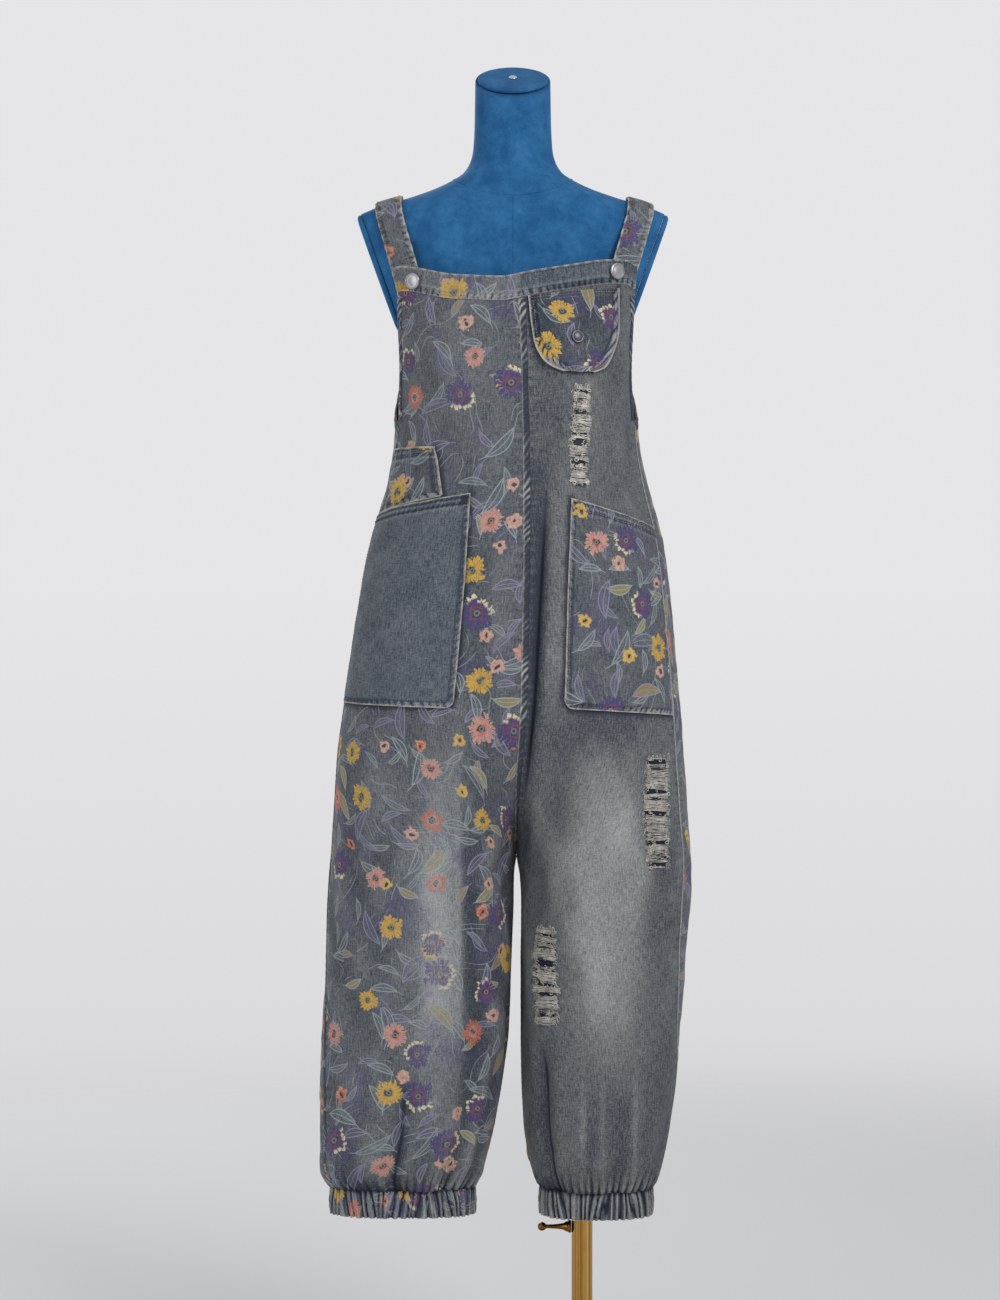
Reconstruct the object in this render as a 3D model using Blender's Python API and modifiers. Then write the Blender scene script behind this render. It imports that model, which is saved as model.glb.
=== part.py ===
"""A harem jumpsuit of flower-printed and plain denim on a limbless dress form with its stand.

Metres, Z up, the front towards -Y, the stand's pole on the Z axis and its foot at Z 0. "Right"
and "left" are the wearer's, so the right side is at -X. The form and the jumpsuit stand beside
the pole, about the plane X = FORM_X, and their tables give X from that plane, in millimetres.
"""

import functools
import math

import bmesh
import bpy
import numpy as np
from mathutils import Matrix, Vector

COLLECTION = "harem_jumpsuit"
MM = 0.001
GAP = 0.0003  # between pieces that touch
FORM_X = -0.083  # the form's own middle plane
SHARP = math.radians(40)
RIGHT, LEFT = -1, 1
FRONT, BACK = -1, 1

# ---------------------------------------------------------------------------- the jumpsuit's sizes
WALL = 0.0016  # the denim
BODY_POWER, LEG_POWER = 2.3, 2.2  # 2 is an ellipse, more is squarer
SAMPLES = 160  # points on an outline before it is divided evenly
CROTCH_Z = 0.676
RISE_TOP_Z = 0.872  # where the centre seams start to turn under
RISE_POWER = 2.2
ARMHOLE_Z = 1.184
BACK_TOP_Z = 1.312
CUFF_TOP_Z, CUFF_HEM_Z = 0.2735, 0.2415

# Half widths to each side, depths of the front and back, and the centre seam's drift to the left.
BODY_COLUMNS = ("z", "right", "left", "front", "back", "drift")
BODY_ROWS = (
    (1400, 166, 171, 112, 110, 8),
    (1372, 166, 171, 118, 113, 8),
    (1300, 146, 151, 127, 117, 11),
    (1240, 141, 146, 132, 119, 13),
    (1188, 141, 149, 134, 121, 14),
    (1157, 143, 152, 135, 122, 15),
    (1108, 152, 163, 137, 126, 15.5),
    (1042, 171, 180, 140, 133, 15.5),
    (952, 187, 191, 143, 141, 14),
    (856, 201, 200, 144, 145, 12),
    (786, 210, 205, 140, 143, 8),
    (736, 213, 209, 133, 138, 5),
    (676, 217, 212, 122, 126, 4.2),
)
# X of each leg's outer and inner sides, and its depths in front of and behind the middle.
LEG_COLUMNS = ("z", "outer", "inner", "front", "back")
RIGHT_LEG_ROWS = (
    (880, -201, 4.05, 144, 145),
    (786, -210, 4.05, 138, 142),
    (736, -213, 4.05, 130, 134),
    (676, -217, 4.05, 118, 117),
    (648, -219.5, 0.6, 113, 109),
    (610, -222, 0, 106, 100),
    (544, -224, -2.4, 97, 90),
    (463, -228.5, -5.5, 88, 82),
    (426, -230.5, -9.6, 84, 78),
    (350, -231.5, -22, 80, 76),
    (312, -231, -31, 73, 70),
    (292, -229, -37, 62, 59),
    (280, -224, -42, 52, 49),
    (272, -218, -46, 44, 42),
)
LEFT_LEG_ROWS = (
    (880, 201, 4.35, 144, 145),
    (786, 205, 4.35, 138, 142),
    (736, 209, 4.35, 130, 134),
    (676, 212.5, 4.35, 120, 118),
    (648, 213, 9.0, 116, 112),
    (610, 212, 10.8, 110, 106),
    (544, 207, 10, 103, 98),
    (463, 199, 10.2, 96, 92),
    (426, 198, 10.5, 93, 90),
    (350, 188, 13.5, 88, 86),
    (312, 181, 19, 80, 78),
    (292, 176, 24, 70, 68),
    (280, 172, 28, 62, 60),
    (272, 168, 32, 56, 54),
)
# How far in front of the middle each side seam lies.
SEAM_COLUMNS = ("z", "right", "left")
SEAM_ROWS = (
    (1400, 75, 75),
    (1345, 71, 71),
    (1300, 54, 54),
    (1240, 48, 48),
    (1188, 45, 47),
    (1100, 34, 58),
    (1000, 24, 61),
    (860, 16, 61),
    (676, 15, 62),
    (580, 18, 58),
    (463, 30, 32),
    (350, 35, 16),
    (272, 22, 8),
)
# The bib's top edge from the right side to the left.
TOP_EDGE_COLUMNS = ("x", "z")
TOP_EDGE_ROWS = (
    (-142, 1366),
    (-136, 1366),
    (-68, 1353),
    (-14, 1350),
    (17, 1355.5),
    (66, 1364),
    (109, 1371.5),
    (132, 1373),
    (141, 1369),
)
BAND_DEPTH = 0.029
# The back panel's armhole: the share of the back's arc that is cut away above the side seam.
ARMHOLE_COLUMNS = ("z", "share")
ARMHOLE_ROWS = ((1184, 0), (1192, 120), (1210, 230), (1250, 360), (1312, 430))

# Each fold runs down a panel between two heights, at a share of the way from the side seam to the
# panel's other edge. A depth under 0 is a ridge.
FOLD_MARGIN = 0.012  # folds die out this far from a seam
FOLD_COLUMNS = ("z_top", "share_top", "z_mid", "share_mid", "z_low", "share_low", "depth", "width")
FOLDS = {
    (LEFT, FRONT): (
        (1140, 0.862, 950, 0.915, 700, 0.965, 13, 9),
        (1130, 0.790, 950, 0.840, 740, 0.890, -5, 22),
        (470, 0.740, 370, 0.735, 276, 0.730, 9, 12),
        (420, 0.560, 340, 0.555, 276, 0.550, -5, 16),
        (400, 0.380, 330, 0.375, 276, 0.370, 5, 15),
    ),
    (RIGHT, FRONT): (
        (1120, 0.900, 950, 0.920, 760, 0.930, -4, 20),
        (620, 0.720, 450, 0.735, 276, 0.700, 7, 13),
        (420, 0.420, 340, 0.415, 276, 0.410, 8, 13),
        (400, 0.560, 330, 0.560, 276, 0.560, -5, 16),
    ),
    (LEFT, BACK): (
        (1130, 0.700, 900, 0.640, 620, 0.520, 7, 20),
        (900, 0.300, 700, 0.330, 480, 0.360, 6, 20),
        (430, 0.600, 340, 0.590, 276, 0.580, 8, 15),
        (430, 0.300, 340, 0.290, 276, 0.280, 6, 15),
    ),
    (RIGHT, BACK): (
        (1130, 0.720, 900, 0.660, 640, 0.540, 7, 20),
        (880, 0.280, 680, 0.330, 460, 0.350, 6, 20),
        (430, 0.640, 340, 0.630, 276, 0.620, 8, 15),
        (430, 0.360, 340, 0.350, 276, 0.340, 6, 15),
    ),
}

FRONT_SHARES = (
    0, 0.05, 0.12, 0.20, 0.29, 0.38, 0.47, 0.56, 0.65, 0.73, 0.80, 0.85, 0.89, 0.925, 0.96, 1,
)  # fmt: skip
BACK_SHARES = (0, 0.06, 0.15, 0.25, 0.35, 0.45, 0.55, 0.65, 0.75, 0.85, 0.93, 1)
PANEL_HEIGHTS = (
    1290, 1240, 1186, 1140, 1090, 1040, 990, 940, 895, 860, 825, 790, 750, 715, 690, 672, 655,
    625, 580, 520, 460, 400, 350, 318, 298, 285, 278,
)  # fmt: skip
BACK_TOP_HEIGHTS = (1312, 1285, 1250, 1222, 1202, 1192)

POCKET_SEAT = 0.0007  # clears the flats of the two meshes, which aren't divided alike
POCKET_SWELL = 0.0022
POCKET_WALL = 0.0016
SIDE_MARGIN = 0.004  # from a pocket's outer edge to the side seam
# Each pocket's top and bottom heights at its outer and inner sides, and the X of its inner edge at
# the top, middle and bottom.
POCKET_COLUMNS = ("outer_top", "inner_top", "outer_low", "inner_low", "x_top", "x_mid", "x_low")
BIG_POCKET_RIGHT = (1075, 1097, 853.5, 848, -49, -57.5, -68)
BIG_POCKET_LEFT = (1058, 1091, 838.5, 848, 66.5, 61.5, 58.5)
TICKET_POCKET = (1154, 1152.5, 1076.5, 1094, -91, -86, -82)
POCKET_CELLS, TICKET_CELLS = (9, 7), (5, 3)
# The bib flap's sides, from its top edge down to its rounded foot.
FLAP_COLUMNS = ("z", "near", "far")
FLAP_ROWS = (
    (1326, 17, 123),
    (1311, 18, 124),
    (1290, 21, 124),
    (1268, 25, 119.5),
    (1252, 37, 112.5),
    (1243, 53, 107),
    (1238, 74, 95),
)
FLAP_RISE = 0.013  # its top edge climbs to the left with the bib's
FLAP_SEAT, FLAP_STAND = 0.0013, 0.0028
FLAP_CELLS = 8

CUFF_PLEATS = 26
CUFF_RIPPLE = 0.0024
CUFF_WALL = 0.0024  # doubled cloth over the elastic
CUFF_COLUMNS = ("x", "half_width", "front", "back")
CUFFS = {RIGHT: (-132, 86, 42, 41), LEFT: (100, 67, 55, 53)}

# A strap's middle line: X at the bib, over the shoulder and at the back, and where its ends are.
STRAP_COLUMNS = ("x_bib", "x_top", "x_back")
STRAPS = {RIGHT: (-119, -147.5, -86), LEFT: (122, 151.5, 86)}
STRAP_WIDTH, STRAP_WALL = 0.032, 0.0028
STRAP_CLEAR = 0.0030  # over the form, so that the strap's flats clear its round shoulder
STRAP_FRONT_Z, STRAP_BACK_Z = 1.338, 1.290
STRAP_SEAT = 0.0036  # between a strap's ends and the cloth over them
SHOULDER_CORE_Z = 1.400  # a strap is lifted away from here
STRAP_STATIONS, STRAP_LINES = 24, 4

# ---------------------------------------------------------------------------- the form and stand
FORM_COLUMNS = ("z", "half_width", "front", "back")
FORM_ROWS = (
    (1572, 45, 45, 45),
    (1535, 46, 46, 46),
    (1512, 48, 48, 48),
    (1498, 52, 50, 52),
    (1486, 60, 53, 57),
    (1479, 70, 56, 61),
    (1467, 94, 61, 69),
    (1455, 128, 67, 77),
    (1443, 168, 73, 84),
    (1432, 188, 78, 90),
    (1415, 189, 83, 95),
    (1400, 184, 84, 98),
    (1375, 173, 88, 101),
    (1350, 160, 92, 103),
    (1325, 147, 98, 104),
    (1297, 133, 105, 104),
    (1250, 130, 114, 102),
    (1180, 126, 112, 97),
    (1080, 118, 98, 88),
    (1000, 134, 104, 97),
    (930, 152, 111, 110),
    (870, 160, 114, 119),
    (835, 154, 110, 114),
    (815, 140, 100, 105),
    (803, 118, 84, 90),
)
FORM_POWER = 2.2
FORM_SIDES = 44
NECK_SLANT = math.radians(30)
NECK_TOP_Z, NECK_SLANT_FROM_Z = 1.597, 1.512
ARM_PLANE_X, ARM_PLANE_Z, ARM_PLANE_SLOPE = 0.180, 1.4316, 0.36
ARM_PLATE = 0.0065
CAP_RADIUS, CAP_THICKNESS = 0.042, 0.004

POLE_RADIUS = 0.0105
TUBE_RADIUS, TUBE_BORE, TUBE_TOP_Z = 0.0126, 0.0108, 0.262
POLE_FOOT_Z = 0.020
FLANGE_RADIUS, FLANGE_THICKNESS = 0.030, 0.006
BASE_RADIUS, BASE_THICKNESS, BASE_HUB = 0.200, 0.007, (0.024, 0.016)
CLAMP_Z = 0.224
# The thumb screw's outline: how far from the pole's axis, and its radius there.
CLAMP_PROFILE = (
    (13.0, 3.6), (13.0, 7.4), (16.2, 7.6), (17.4, 6.2), (19.0, 6.0), (22.5, 4.0), (34.0, 2.6),
    (43.0, 2.2), (44.2, 3.8), (47.5, 5.4), (51.0, 4.6), (53.2, 2.0),
)  # fmt: skip
BUTTONS = {RIGHT: (-115.5, 1347), LEFT: (119.5, 1358)}
BUTTON_PROFILE = (
    (0.0, 0.0), (3.2, 0.0), (3.2, 1.6), (8.4, 1.8), (9.8, 2.9), (9.6, 4.3), (8.0, 4.9),
    (7.2, 4.3), (3.6, 4.7), (0.0, 4.9),
)  # fmt: skip
SNAP_PLACE, SNAP_DOWN = (71, 1260), 0.58  # and how far down the flap that is
SNAP_PROFILE = ((0.0, 0.0), (7.2, 0.0), (8.0, 0.8), (7.7, 1.9), (5.2, 2.7), (0.0, 3.0))

COLOURS = {
    "printed_denim": (0.11, 0.13, 0.16, 1),
    "plain_denim": (0.16, 0.18, 0.20, 1),
    "velvet": (0.02, 0.13, 0.36, 1),
    "nickel": (0.62, 0.62, 0.64, 1),
    "dark_metal": (0.10, 0.11, 0.13, 1),
    "brass": (0.60, 0.40, 0.14, 1),
    "steel": (0.55, 0.56, 0.58, 1),
}


# ---------------------------------------------------------------------------- tables and curves
def table(columns, rows):
    """The rows as one array for each column, lowest first, in metres."""
    values = np.array(sorted(rows), float) * MM
    return dict(zip(columns, values.T))


BODY = table(BODY_COLUMNS, BODY_ROWS)
LEGS = {RIGHT: table(LEG_COLUMNS, RIGHT_LEG_ROWS), LEFT: table(LEG_COLUMNS, LEFT_LEG_ROWS)}
SEAMS = table(SEAM_COLUMNS, SEAM_ROWS)
TOP_EDGE = table(TOP_EDGE_COLUMNS, TOP_EDGE_ROWS)
ARMHOLE = table(ARMHOLE_COLUMNS, ARMHOLE_ROWS)
FLAP = table(FLAP_COLUMNS, FLAP_ROWS)
FORM = table(FORM_COLUMNS, FORM_ROWS)


def curve_through(xs, ys, x):
    """Y at x on a smooth curve that never overshoots its points, held level past its ends."""
    rises = np.diff(ys) / np.diff(xs)
    level = rises[:-1] * rises[1:] <= 0
    sums = np.where(level, 1.0, rises[:-1] + rises[1:])
    between = np.where(level, 0.0, 2 * rises[:-1] * rises[1:] / sums)
    slopes = np.concatenate([rises[:1], between, rises[-1:]])
    i = int(np.clip(np.searchsorted(xs, x) - 1, 0, len(xs) - 2))
    step = xs[i + 1] - xs[i]
    u = float(np.clip((x - xs[i]) / step, 0, 1))
    return (
        ys[i] * (1 + 2 * u) * (1 - u) ** 2
        + ys[i + 1] * u * u * (3 - 2 * u)
        + step * (slopes[i] * u * (1 - u) ** 2 - slopes[i + 1] * u * u * (1 - u))
    )


def read(from_table, column, z):
    return curve_through(from_table["z"], from_table[column], z)


def ease(u):
    u = min(max(u, 0.0), 1.0)
    return u * u * (3 - 2 * u)


def superellipse(angles, power):
    """Cosine and sine of the angles, pushed out towards a square's corners."""
    c, s = np.cos(angles), np.sin(angles)
    return np.sign(c) * np.abs(c) ** (2 / power), np.sign(s) * np.abs(s) ** (2 / power)


def along(points, shares):
    """Points at shares of the line's length, leaving half a seam's gap at both ends."""
    steps = np.linalg.norm(np.diff(points, axis=0), axis=1)
    travelled = np.concatenate([[0.0], np.cumsum(steps)])
    wanted = GAP / 2 + np.asarray(shares) * (travelled[-1] - GAP)
    return np.stack([np.interp(wanted, travelled, points[:, i]) for i in (0, 1)], axis=1)


# ---------------------------------------------------------------------------- the cloth's surface
def seam_angle(side, z, front, power):
    """The outline's angle at the side seam, which lies a little in front of the middle."""
    ahead = read(SEAMS, "right" if side == RIGHT else "left", z)
    return -math.asin(min(ahead / front, 0.95) ** (power / 2))


def body_arc(side, face, z):
    """Half the body's outline on one face, from the side seam to the centre seam."""
    width = read(BODY, "right" if side == RIGHT else "left", z)
    front, back = read(BODY, "front", z), read(BODY, "back", z)
    start = seam_angle(side, z, front, BODY_POWER)
    c, s = superellipse(np.linspace(start, face * math.pi / 2, SAMPLES), BODY_POWER)
    x = side * width * c + read(BODY, "drift", z) * (1 - c)
    return np.stack([x, np.where(s < 0, front, back) * s], axis=1)


def leg_arc(side, face, z):
    """Half a leg's outline on one face, from the side seam to the inseam."""
    leg = LEGS[side]
    outer, inner = read(leg, "outer", z), read(leg, "inner", z)
    front, back = read(leg, "front", z), read(leg, "back", z)
    start = seam_angle(side, z, front, LEG_POWER)
    c, s = superellipse(np.linspace(start, face * math.pi, SAMPLES), LEG_POWER)
    x = (outer + inner) / 2 + (outer - inner) / 2 * c
    return np.stack([x, np.where(s < 0, front, back) * s], axis=1)


@functools.lru_cache(maxsize=None)
def outline(side, face, z):
    """A panel's outline at one height: half a body turns into a whole leg down the rise."""
    shares = np.linspace(0, 1, SAMPLES)
    turned = min(max((RISE_TOP_Z - z) / (RISE_TOP_Z - CROTCH_Z), 0.0), 1.0) ** RISE_POWER
    body = along(body_arc(side, face, z), shares)
    return (1 - turned) * body + turned * along(leg_arc(side, face, z), shares)


def length_of(line):
    return float(np.linalg.norm(np.diff(line, axis=0), axis=1).sum())


def fold_push(side, face, z, share, length):
    """How far the folds push the cloth outwards at a point."""
    push = 0.0
    for row in FOLDS[side, face]:
        fold = dict(zip(FOLD_COLUMNS, row))
        heights = np.array([fold["z_low"], fold["z_mid"], fold["z_top"]]) * MM
        shares = np.array([fold["share_low"], fold["share_mid"], fold["share_top"]])
        at = curve_through(heights, shares, z)
        ends = 0.3 * (heights[2] - heights[0])
        fade = ease((heights[2] - z) / ends)
        if fold["z_low"] > 300:
            fade *= ease((z - heights[0]) / ends)
        fade *= ease(min(share, 1 - share) * length / FOLD_MARGIN)
        away = (share - at) * length / (fold["width"] * MM)
        push -= fold["depth"] * MM * fade * math.exp(-away * away)
    return push


def cloth_point(side, face, z, share):
    """A point of the panel's outer side, folds and all."""
    line = outline(side, face, round(z, 6))
    count = len(line) - 1
    place = share * count
    index = int(min(max(place, 0), count - 1))
    here = line[index] + (place - index) * (line[index + 1] - line[index])
    low, high = max(index - 1, 0), min(index + 2, count)
    run = line[high] - line[low]
    run = run / np.linalg.norm(run)
    outward = side * face * np.array([run[1], -run[0]])
    here = here + outward * fold_push(side, face, z, share, length_of(line))
    return Vector((here[0] + FORM_X, here[1], z))


def cloth_normal(side, face, z, share):
    """The outward direction, square to the cloth."""
    step, rise = 0.006, 0.003
    low, high = max(share - step, 0.0), min(share + step, 1.0)
    across = cloth_point(side, face, z, high) - cloth_point(side, face, z, low)
    up = cloth_point(side, face, z + rise, share) - cloth_point(side, face, z - rise, share)
    normal = side * face * across.cross(up).normalized()
    if share == 1 and side * normal.x > 0:
        normal.x = 0.0  # both halves of the centre seam face the same way
        normal.normalize()
    return normal


def share_at(side, face, z, x):
    """The share of the way round at which the panel passes X, measured from the form's middle."""
    xs = outline(side, face, round(z, 6))[:, 0]
    shares = np.linspace(0, 1, len(xs))
    return float(np.interp(x * -side, xs * -side, shares))


def top_edge(x):
    return curve_through(TOP_EDGE["x"], TOP_EDGE["z"], x)


# ---------------------------------------------------------------------------- making meshes
def clear_scene():
    for old in list(bpy.data.objects):
        bpy.data.objects.remove(old)
    for old in list(bpy.data.collections):
        bpy.data.collections.remove(old)
    made = bpy.data.collections.new(COLLECTION)
    bpy.context.scene.collection.children.link(made)
    return made


def material(name, finish):
    made = bpy.data.materials.new(name + "_" + finish)
    made.use_nodes = True
    shader = made.node_tree.nodes["Principled BSDF"]
    shader.inputs["Base Color"].default_value = COLOURS[finish]
    shader.inputs["Metallic"].default_value = float(finish in ("nickel", "brass", "steel"))
    shader.inputs["Roughness"].default_value = 0.3 if finish in ("nickel", "brass") else 0.8
    return made


def add_object(name, mesh, finish):
    made = bpy.data.objects.new(name, mesh)
    made.data.materials.append(material(name, finish))
    bpy.data.collections[COLLECTION].objects.link(made)
    return made


def solid(name, points, faces, finish):
    """A closed mesh, its faces turned outwards."""
    mesh = bpy.data.meshes.new(name)
    mesh.from_pydata([tuple(p) for p in points], [], faces)
    work = bmesh.new()
    work.from_mesh(mesh)
    bmesh.ops.recalc_face_normals(work, faces=work.faces)
    if work.calc_volume(signed=True) < 0:
        bmesh.ops.reverse_faces(work, faces=work.faces)
    work.to_mesh(mesh)
    work.free()
    mesh.shade_smooth()
    mesh.set_sharp_from_angle(angle=SHARP)
    return add_object(name, mesh, finish)


def wall(name, outer, inner, finish, ring=False):
    """A wall between two grids of points, each a list of rows. A ring's rows close on themselves."""
    rows, columns = len(outer), len(outer[0])
    points = [p for row in outer for p in row] + [p for row in inner for p in row]
    half = rows * columns
    spans = [(j, (j + 1) % columns) for j in range(columns if ring else columns - 1)]
    faces = []
    for i in range(rows - 1):
        for j, k in spans:
            a, b = i * columns + j, i * columns + k
            d, c = a + columns, b + columns
            # Both skins are cut along one diagonal, so that a warped cell keeps its thickness.
            faces += [(a, b, c), (a, c, d)]
            faces += [(half + c, half + b, half + a), (half + d, half + c, half + a)]
    for i in (0, rows - 1):
        for j, k in spans:
            a, b = i * columns + j, i * columns + k
            faces.append((a, b, half + b, half + a))
    for j in () if ring else (0, columns - 1):
        for i in range(rows - 1):
            a, b = i * columns + j, (i + 1) * columns + j
            faces.append((a, b, half + b, half + a))
    return solid(name, points, faces, finish)


def loft(name, rings, finish):
    """A solid through rings of equal counts, its two ends closed flat."""
    count = len(rings[0])
    points = [p for ring in rings for p in ring]
    faces = [tuple(range(count)), tuple(range(len(points) - count, len(points)))]
    for i in range(len(rings) - 1):
        for j in range(count):
            k = (j + 1) % count
            faces.append((i * count + j, i * count + k, (i + 1) * count + k, (i + 1) * count + j))
    return solid(name, points, faces, finish)


def revolve(name, profile, finish, place=Matrix(), steps=32):
    """The profile, (radius, height) in millimetres, turned about the object's own Z."""
    mesh = bpy.data.meshes.new(name)
    points = [(r * MM, 0, h * MM) for r, h in profile]
    mesh.from_pydata(points, [(i, i + 1) for i in range(len(points) - 1)], [])
    made = add_object(name, mesh, finish)
    made.matrix_world = place
    screw = made.modifiers.new("turn", "SCREW")
    screw.steps = screw.render_steps = steps
    screw.use_merge_vertices = True
    screw.merge_threshold = 1e-5
    screw.use_normal_flip = True  # the profiles run upwards
    screw.use_smooth_shade = True
    return made


# ---------------------------------------------------------------------------- the jumpsuit
def side_name(side):
    return "right" if side == RIGHT else "left"


def cloth_wall(name, side, face, places, finish):
    """A panel's wall through a grid of (height, share) places."""
    outer, inner = [], []
    for row in places:
        skin = [cloth_point(side, face, z, share) for z, share in row]
        outer.append(skin)
        inner.append(
            [p - WALL * cloth_normal(side, face, z, share) for p, (z, share) in zip(skin, row)]
        )
    return wall(name, outer, inner, finish)


def front_edge(side, share):
    """The bib's top edge at a share of the way from the side to the centre seam."""
    z = 1.36
    for _ in range(3):
        line = outline(side, FRONT, round(z, 6))
        x = float(np.interp(share, np.linspace(0, 1, len(line)), line[:, 0]))
        z = top_edge(x)
    return z


def add_front(side, finish):
    edge = [front_edge(side, share) for share in FRONT_SHARES]
    rows = [[(z - BAND_DEPTH - GAP, share) for z, share in zip(edge, FRONT_SHARES)]]
    rows += [[(z * MM, share) for share in FRONT_SHARES] for z in PANEL_HEIGHTS]
    rows.append([(CUFF_TOP_Z + GAP, share) for share in FRONT_SHARES])
    cloth_wall("front_" + side_name(side), side, FRONT, rows, finish)
    band = [
        [(z - drop, share) for z, share in zip(edge, FRONT_SHARES)] for drop in (0, BAND_DEPTH)
    ]
    cloth_wall("bib_band_" + side_name(side), side, FRONT, band, finish)


def add_back(side, finish):
    rows = []
    for z in BACK_TOP_HEIGHTS + tuple(z for z in PANEL_HEIGHTS if z < 1190):
        cut = curve_through(ARMHOLE["z"], ARMHOLE["share"], z * MM) if z * MM > ARMHOLE_Z else 0
        rows.append([(z * MM, cut + (1 - cut) * share) for share in BACK_SHARES])
    rows.append([(CUFF_TOP_Z + GAP, share) for share in BACK_SHARES])
    cloth_wall("back_" + side_name(side), side, BACK, rows, finish)


def patch(name, side, places, finish, seat, swell):
    """A piece lying on a front panel: its grid of places, moved out by the seat and a swell."""
    outer, inner = [], []
    last_row, last_column = len(places) - 1, len(places[0]) - 1
    for i, row in enumerate(places):
        under, over = [], []
        for j, (z, share) in enumerate(row):
            point = cloth_point(side, FRONT, z, share)
            normal = cloth_normal(side, FRONT, z, min(share, 0.999))
            out = seat + swell(i / last_row, j / last_column)
            under.append(point + out * normal)
            over.append(point + (out + POCKET_WALL) * normal)
        inner.append(under)
        outer.append(over)
    return wall(name, outer, inner, finish)


def add_pocket(name, side, sizes, cells, finish, swell):
    pocket = dict(zip(POCKET_COLUMNS, sizes))
    columns, rows = cells
    places = []
    for i in range(rows + 1):
        down = i / rows
        inner_x = curve_through(
            np.array([0, 0.5, 1.0]),
            np.array([pocket["x_top"], pocket["x_mid"], pocket["x_low"]]) * MM,
            down,
        )
        row = []
        for j in range(columns + 1):
            across = j / columns
            top = pocket["outer_top"] + across * (pocket["inner_top"] - pocket["outer_top"])
            low = pocket["outer_low"] + across * (pocket["inner_low"] - pocket["outer_low"])
            z = (top + down * (low - top)) * MM
            start = SIDE_MARGIN / length_of(outline(side, FRONT, round(z, 6)))
            end = share_at(side, FRONT, z, inner_x)
            row.append((z, start + across * (end - start)))
        places.append(row)
    patch(name, side, places, finish, POCKET_SEAT, swell)


def pillow(down, across):
    return POCKET_SWELL * math.sin(math.pi * across) ** 0.7 * (1 - 0.75 * down)


def add_flap(finish):
    places = []
    for z in FLAP["z"][::-1]:
        near, far = read(FLAP, "near", z), read(FLAP, "far", z)
        climb = FLAP_RISE * (z - FLAP["z"][0]) / (FLAP["z"][-1] - FLAP["z"][0])
        row = []
        for j in range(FLAP_CELLS + 1):
            across = j / FLAP_CELLS
            height = z + climb * across
            x = near + across * (far - near)
            row.append((height, share_at(LEFT, FRONT, height, x)))
        places.append(row)
    patch("bib_flap", LEFT, places, finish, FLAP_SEAT, lambda down, _: FLAP_STAND * ease(down))


def add_cuff(side, finish):
    cuff = dict(zip(CUFF_COLUMNS, CUFFS[side]))
    angles = np.linspace(0, 2 * math.pi, 2 * CUFF_PLEATS, endpoint=False)
    c, s = superellipse(angles, LEG_POWER)
    outer, inner = [], []
    height = CUFF_TOP_Z - CUFF_HEM_Z
    for drop, swell in ((0, 0.0), (0.5, 0.0016), (1, 0.0)):
        over, under = [], []
        for j, angle in enumerate(angles):
            ripple = CUFF_RIPPLE * (1 if j % 2 else -1) / 2 + swell
            radius = Vector((cuff["half_width"] * c[j], 0, 0)) * MM
            radius.y = (cuff["front"] if s[j] < 0 else cuff["back"]) * s[j] * MM
            out = Vector((math.cos(angle), math.sin(angle), 0))
            foot = Vector((FORM_X + cuff["x"] * MM, 0, CUFF_TOP_Z - drop * height))
            over.append(foot + radius + ripple * out)
            under.append(foot + radius + (ripple - CUFF_WALL) * out)
        outer.append(over)
        inner.append(under)
    wall("cuff_" + side_name(side), outer, inner, finish, ring=True)


def form_depth(face, x, z):
    """How far the form's surface is from the middle at X and a height, or None past its side."""
    share = abs(x) / read(FORM, "half_width", z)
    if share >= 1 or z > FORM["z"][-1]:
        return None
    depth = read(FORM, "front" if face == FRONT else "back", z)
    return depth * (1 - share**FORM_POWER) ** (1 / FORM_POWER)


def taut_line(side, offset):
    """One edge of a strap: a line pulled tight over the form's shoulder, front end first."""
    strap = dict(zip(STRAP_COLUMNS, STRAPS[side]))
    heights = np.linspace(STRAP_BACK_Z, 1.470, 240)
    over = []
    for face, end_x, end_z in (
        (FRONT, strap["x_bib"], STRAP_FRONT_Z),
        (BACK, strap["x_back"], STRAP_BACK_Z),
    ):
        # Each end lies against the inside of the bib or of the back.
        share = share_at(side, face, end_z, end_x * MM + offset)
        inside = abs(cloth_point(side, face, end_z, share).y) - WALL - STRAP_WALL - STRAP_SEAT
        over.append((face * inside, end_z, end_x * MM + offset))
        for z in heights[heights >= end_z]:
            up = ease((z - end_z) / (1.447 - end_z))
            x = (end_x + up * (strap["x_top"] - end_x)) * MM + offset
            depth = form_depth(face, x, z)
            if depth is not None:
                out = Vector((depth, max(z - SHOULDER_CORE_Z, 0.0))).normalized() * STRAP_CLEAR
                over.append((face * (depth + out.x), z + out.y, x))
    # Held tight, the strap leaves the hollows: it is the outer hull of what it lies on.
    over.sort(key=lambda point: -math.atan2(point[1] - STRAP_BACK_Z + 0.05, point[0]))
    hull = []
    for point in over:
        while len(hull) > 1 and (
            (hull[-1][0] - hull[-2][0]) * (point[1] - hull[-2][1])
            - (hull[-1][1] - hull[-2][1]) * (point[0] - hull[-2][0])
        ) >= 0:
            hull.pop()
        hull.append(point)
    line = np.array([(x, y, z) for y, z, x in hull])
    steps = np.concatenate([[0], np.cumsum(np.linalg.norm(np.diff(line, axis=0), axis=1))])
    wanted = np.linspace(0, steps[-1], STRAP_STATIONS)
    return [
        Vector([float(np.interp(w, steps, line[:, i])) + (FORM_X if i == 0 else 0)
                for i in range(3)])
        for w in wanted
    ]  # fmt: skip


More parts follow.
